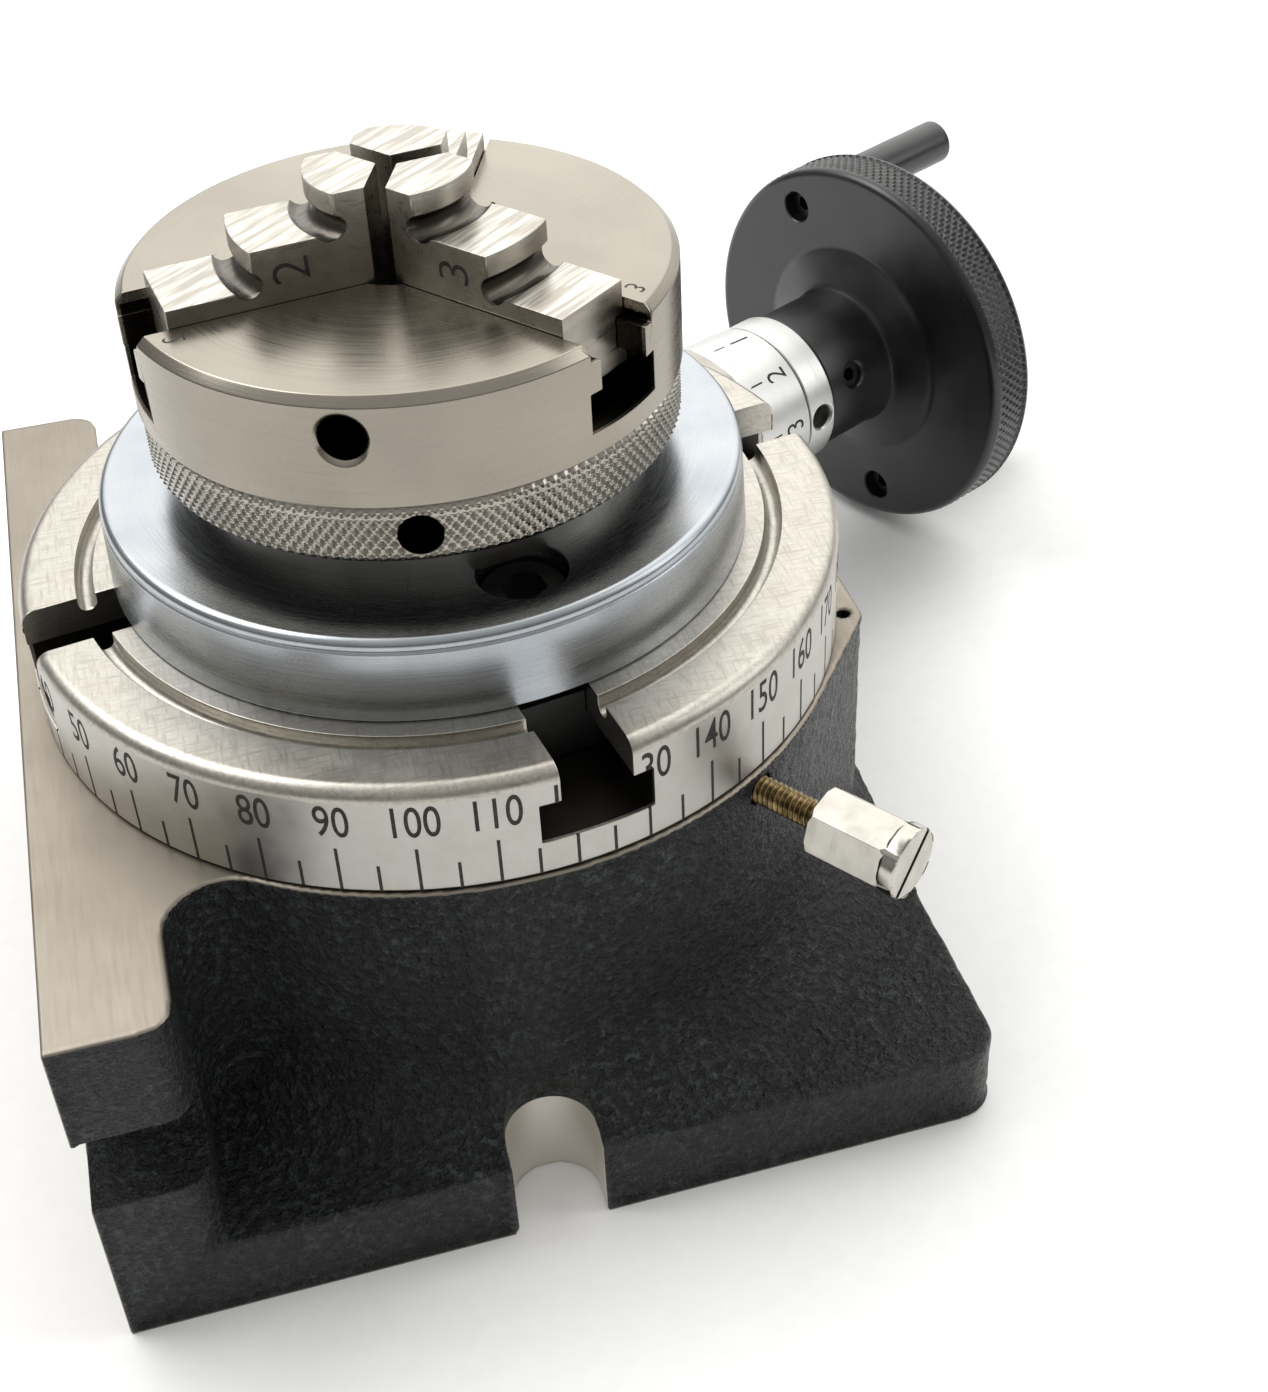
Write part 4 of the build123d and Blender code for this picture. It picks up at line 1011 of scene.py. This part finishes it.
def makeLockHead():
    s = lockShape
    corner = s["flats"] / 2 / math.cos(math.radians(30))
    outline = [polar(corner, 60 * i + s["turn"]) for i in range(6)]
    head = prism("lockHead", outline, s["head"] - 1, s["end"] + 1, lockFrame)
    wide, tip = corner + 0.05, s["end"] - 0.01
    envelope = [(0, s["head"]), (4.2, s["head"]), (wide, s["head"] + 0.5), (wide, s["hexEnd"] - 0.6),
                (s["collar"], s["hexEnd"]), (s["collar"], tip), (0, tip)]
    carve(head, [turned("envelope", envelope, lockFrame, 96)], "INTERSECT")
    ring = [(0, s["hexEnd"] - 0.2), (s["collar"] - 0.25, s["hexEnd"] - 0.2), (s["collar"], s["hexEnd"] + 0.1),
            (s["collar"], s["end"] - 0.25), (s["collar"] - 0.25, s["end"]), (0, s["end"])]
    carve(head, [turned("ring", ring, lockFrame, 96)], "UNION")
    slotPlace = lockFrame @ Matrix.Rotation(math.radians(s["slotTurn"]), 4, "Z")
    carve(head, [prism("slot", block(-6, 6, 0.38), s["end"] - 1.2, s["end"] + 1, slotPlace)])
    breakEdges(head, 0.08, 28)
    return dress(head, nickel, "lock_body", "plated_lock_steel", "lock_screw")


makeStud()
makeLockHead()
print("lock made")


# the pieces that keep their own solids
def keepNode(name, material):
    mesh = nodes[name].data
    mesh.materials.clear()
    mesh.materials.append(material)


keptNodes = {
    "worm_sleeve": shaftSteel, "thrust_ring": shaftSteel, "worm_shaft": shaftSteel, "wheel_key": shaftSteel,
    "spindle_nut": shaftSteel, "spindle_lock_nut": shaftSteel, "worm_tail_bush": bronze, "worm_wheel": bronze,
    "worm_thrust_washer": bronze, "spindle_washer": bronze, "lock_pad": bronze, "t_nuts": blackScrew,
    "chuck_cover": shadedCoverSteel, "chuck_mounting_screws": blackScrew, "chuck_cover_screws": blackScrew,
    "dial_set_screw": blackScrew, "hub_grub_screw": blackScrew, "sleeve_clamp_screw": blackScrew,
    "crank_screw_1": blackScrew, "crank_screw_2": blackScrew,
}
for nodeName, nodeMaterial in keptNodes.items():
    keepNode(nodeName, nodeMaterial)


# matt paper: near white, without a highlight, its fibres drawn coarser than real
def makeStage():
    look = {"half": 1500, "drop": 0.05, "fibre": 3.0, "dark": "#f4f4f4", "light": "#fbfbfb"}
    corners = [(x, y, 0) for x, y in block(-look["half"], look["half"], look["half"])]
    floor = newPiece("floor", corners, [(0, 1, 2, 3)], upright)
    floor.location.z = -look["drop"] * mm
    material, tree, place = startMaterial("matt white paper")
    tone = twoTone(tree, grain(tree, place, look["fibre"], 3.0), 0.0, 1.0, look["dark"], look["light"])
    paper = addNode(tree, "ShaderNodeBsdfPrincipled", {"Base Color": tone, "Roughness": 0.9})
    addNode(tree, "ShaderNodeOutputMaterial", {"Surface": paper})
    floor.data.materials.append(material)


def softBox(name, position, target, width, height, power, tint="#ffffff"):
    light = bpy.data.lights.new(name, "AREA")
    light.shape = "RECTANGLE"
    light.size = width
    light.size_y = height
    light.energy = power
    light.color = colour(tint)[:3]
    lamp = bpy.data.objects.new(name, light)
    bpy.context.scene.collection.objects.link(lamp)
    lamp.location = position
    lamp.rotation_euler = (Vector(target) - Vector(position)).to_track_quat("-Z", "Y").to_euler()


def makeLight():
    look = {"windowFrom": (0.36, 0.7, 0.6), "windowEdge": (0.55, 0.95), "window": 1.75,
            "low": 0.12, "high": 0.8, "key": 4.4, "right": 1.4}
    world = bpy.data.worlds.new("studio")
    bpy.context.scene.world = world
    world.use_nodes = True
    tree = world.node_tree
    tree.nodes.clear()
    direction = addNode(tree, "ShaderNodeTexCoord").outputs["Generated"]
    height = addNode(tree, "ShaderNodeSeparateXYZ", {"Vector": direction}).outputs["Z"]
    towards = Vector(look["windowFrom"]).normalized()
    facing = addNode(tree, "ShaderNodeVectorMath", {
        0: direction, 1: towards}, operation="DOT_PRODUCT").outputs["Value"]
    window = addNode(tree, "ShaderNodeMapRange", {
        "Value": facing, "From Min": look["windowEdge"][0], "From Max": look["windowEdge"][1],
        "To Min": 0.0, "To Max": look["window"]}, interpolation_type="SMOOTHSTEP")
    room = addNode(tree, "ShaderNodeMapRange", {"Value": height, "To Min": look["low"], "To Max": look["high"]})
    strength = addNode(tree, "ShaderNodeMath", {0: window, 1: room}, operation="ADD")
    back = addNode(tree, "ShaderNodeBackground", {"Color": colour("#fffefb"), "Strength": strength})
    addNode(tree, "ShaderNodeOutputWorld", {"Surface": back})
    softBox("keySoftBox", (-0.45, 0.3, 0.8), (0, 0, 0.05), 0.6, 0.5, look["key"])
    softBox("rightSoftBox", (0.75, -0.2, 0.5), (0, 0, 0.05), 0.3, 0.6, look["right"])


def makeCamera():
    view = {"position": (-26.287, -206.103, 203.994), "target": (35.308, 40.071, 7.871), "roll": -2.775,
            "lens": 52.504, "shiftX": -0.0009, "shiftY": -0.0515}
    camera = bpy.data.cameras.new("camera")
    camera.lens = view["lens"]
    camera.shift_x = view["shiftX"]
    camera.shift_y = view["shiftY"]
    camera.clip_start = 0.01
    holder = bpy.data.objects.new("camera", camera)
    bpy.context.scene.collection.objects.link(holder)
    position = Vector(view["position"]) * mm
    forward = (Vector(view["target"]) * mm - position).normalized()
    right = forward.cross(Vector((0, 0, 1))).normalized()
    up = right.cross(forward)
    roll = math.radians(view["roll"])
    rolledRight = right * math.cos(roll) + up * math.sin(roll)
    rolledUp = up * math.cos(roll) - right * math.sin(roll)
    matrix = Matrix((rolledRight, rolledUp, -forward)).transposed().to_4x4()
    matrix.translation = position
    holder.matrix_world = matrix
    bpy.context.scene.camera = holder


makeStage()
makeLight()
makeCamera()
bpy.context.scene.view_settings.view_transform = "Standard"
print("stage made")
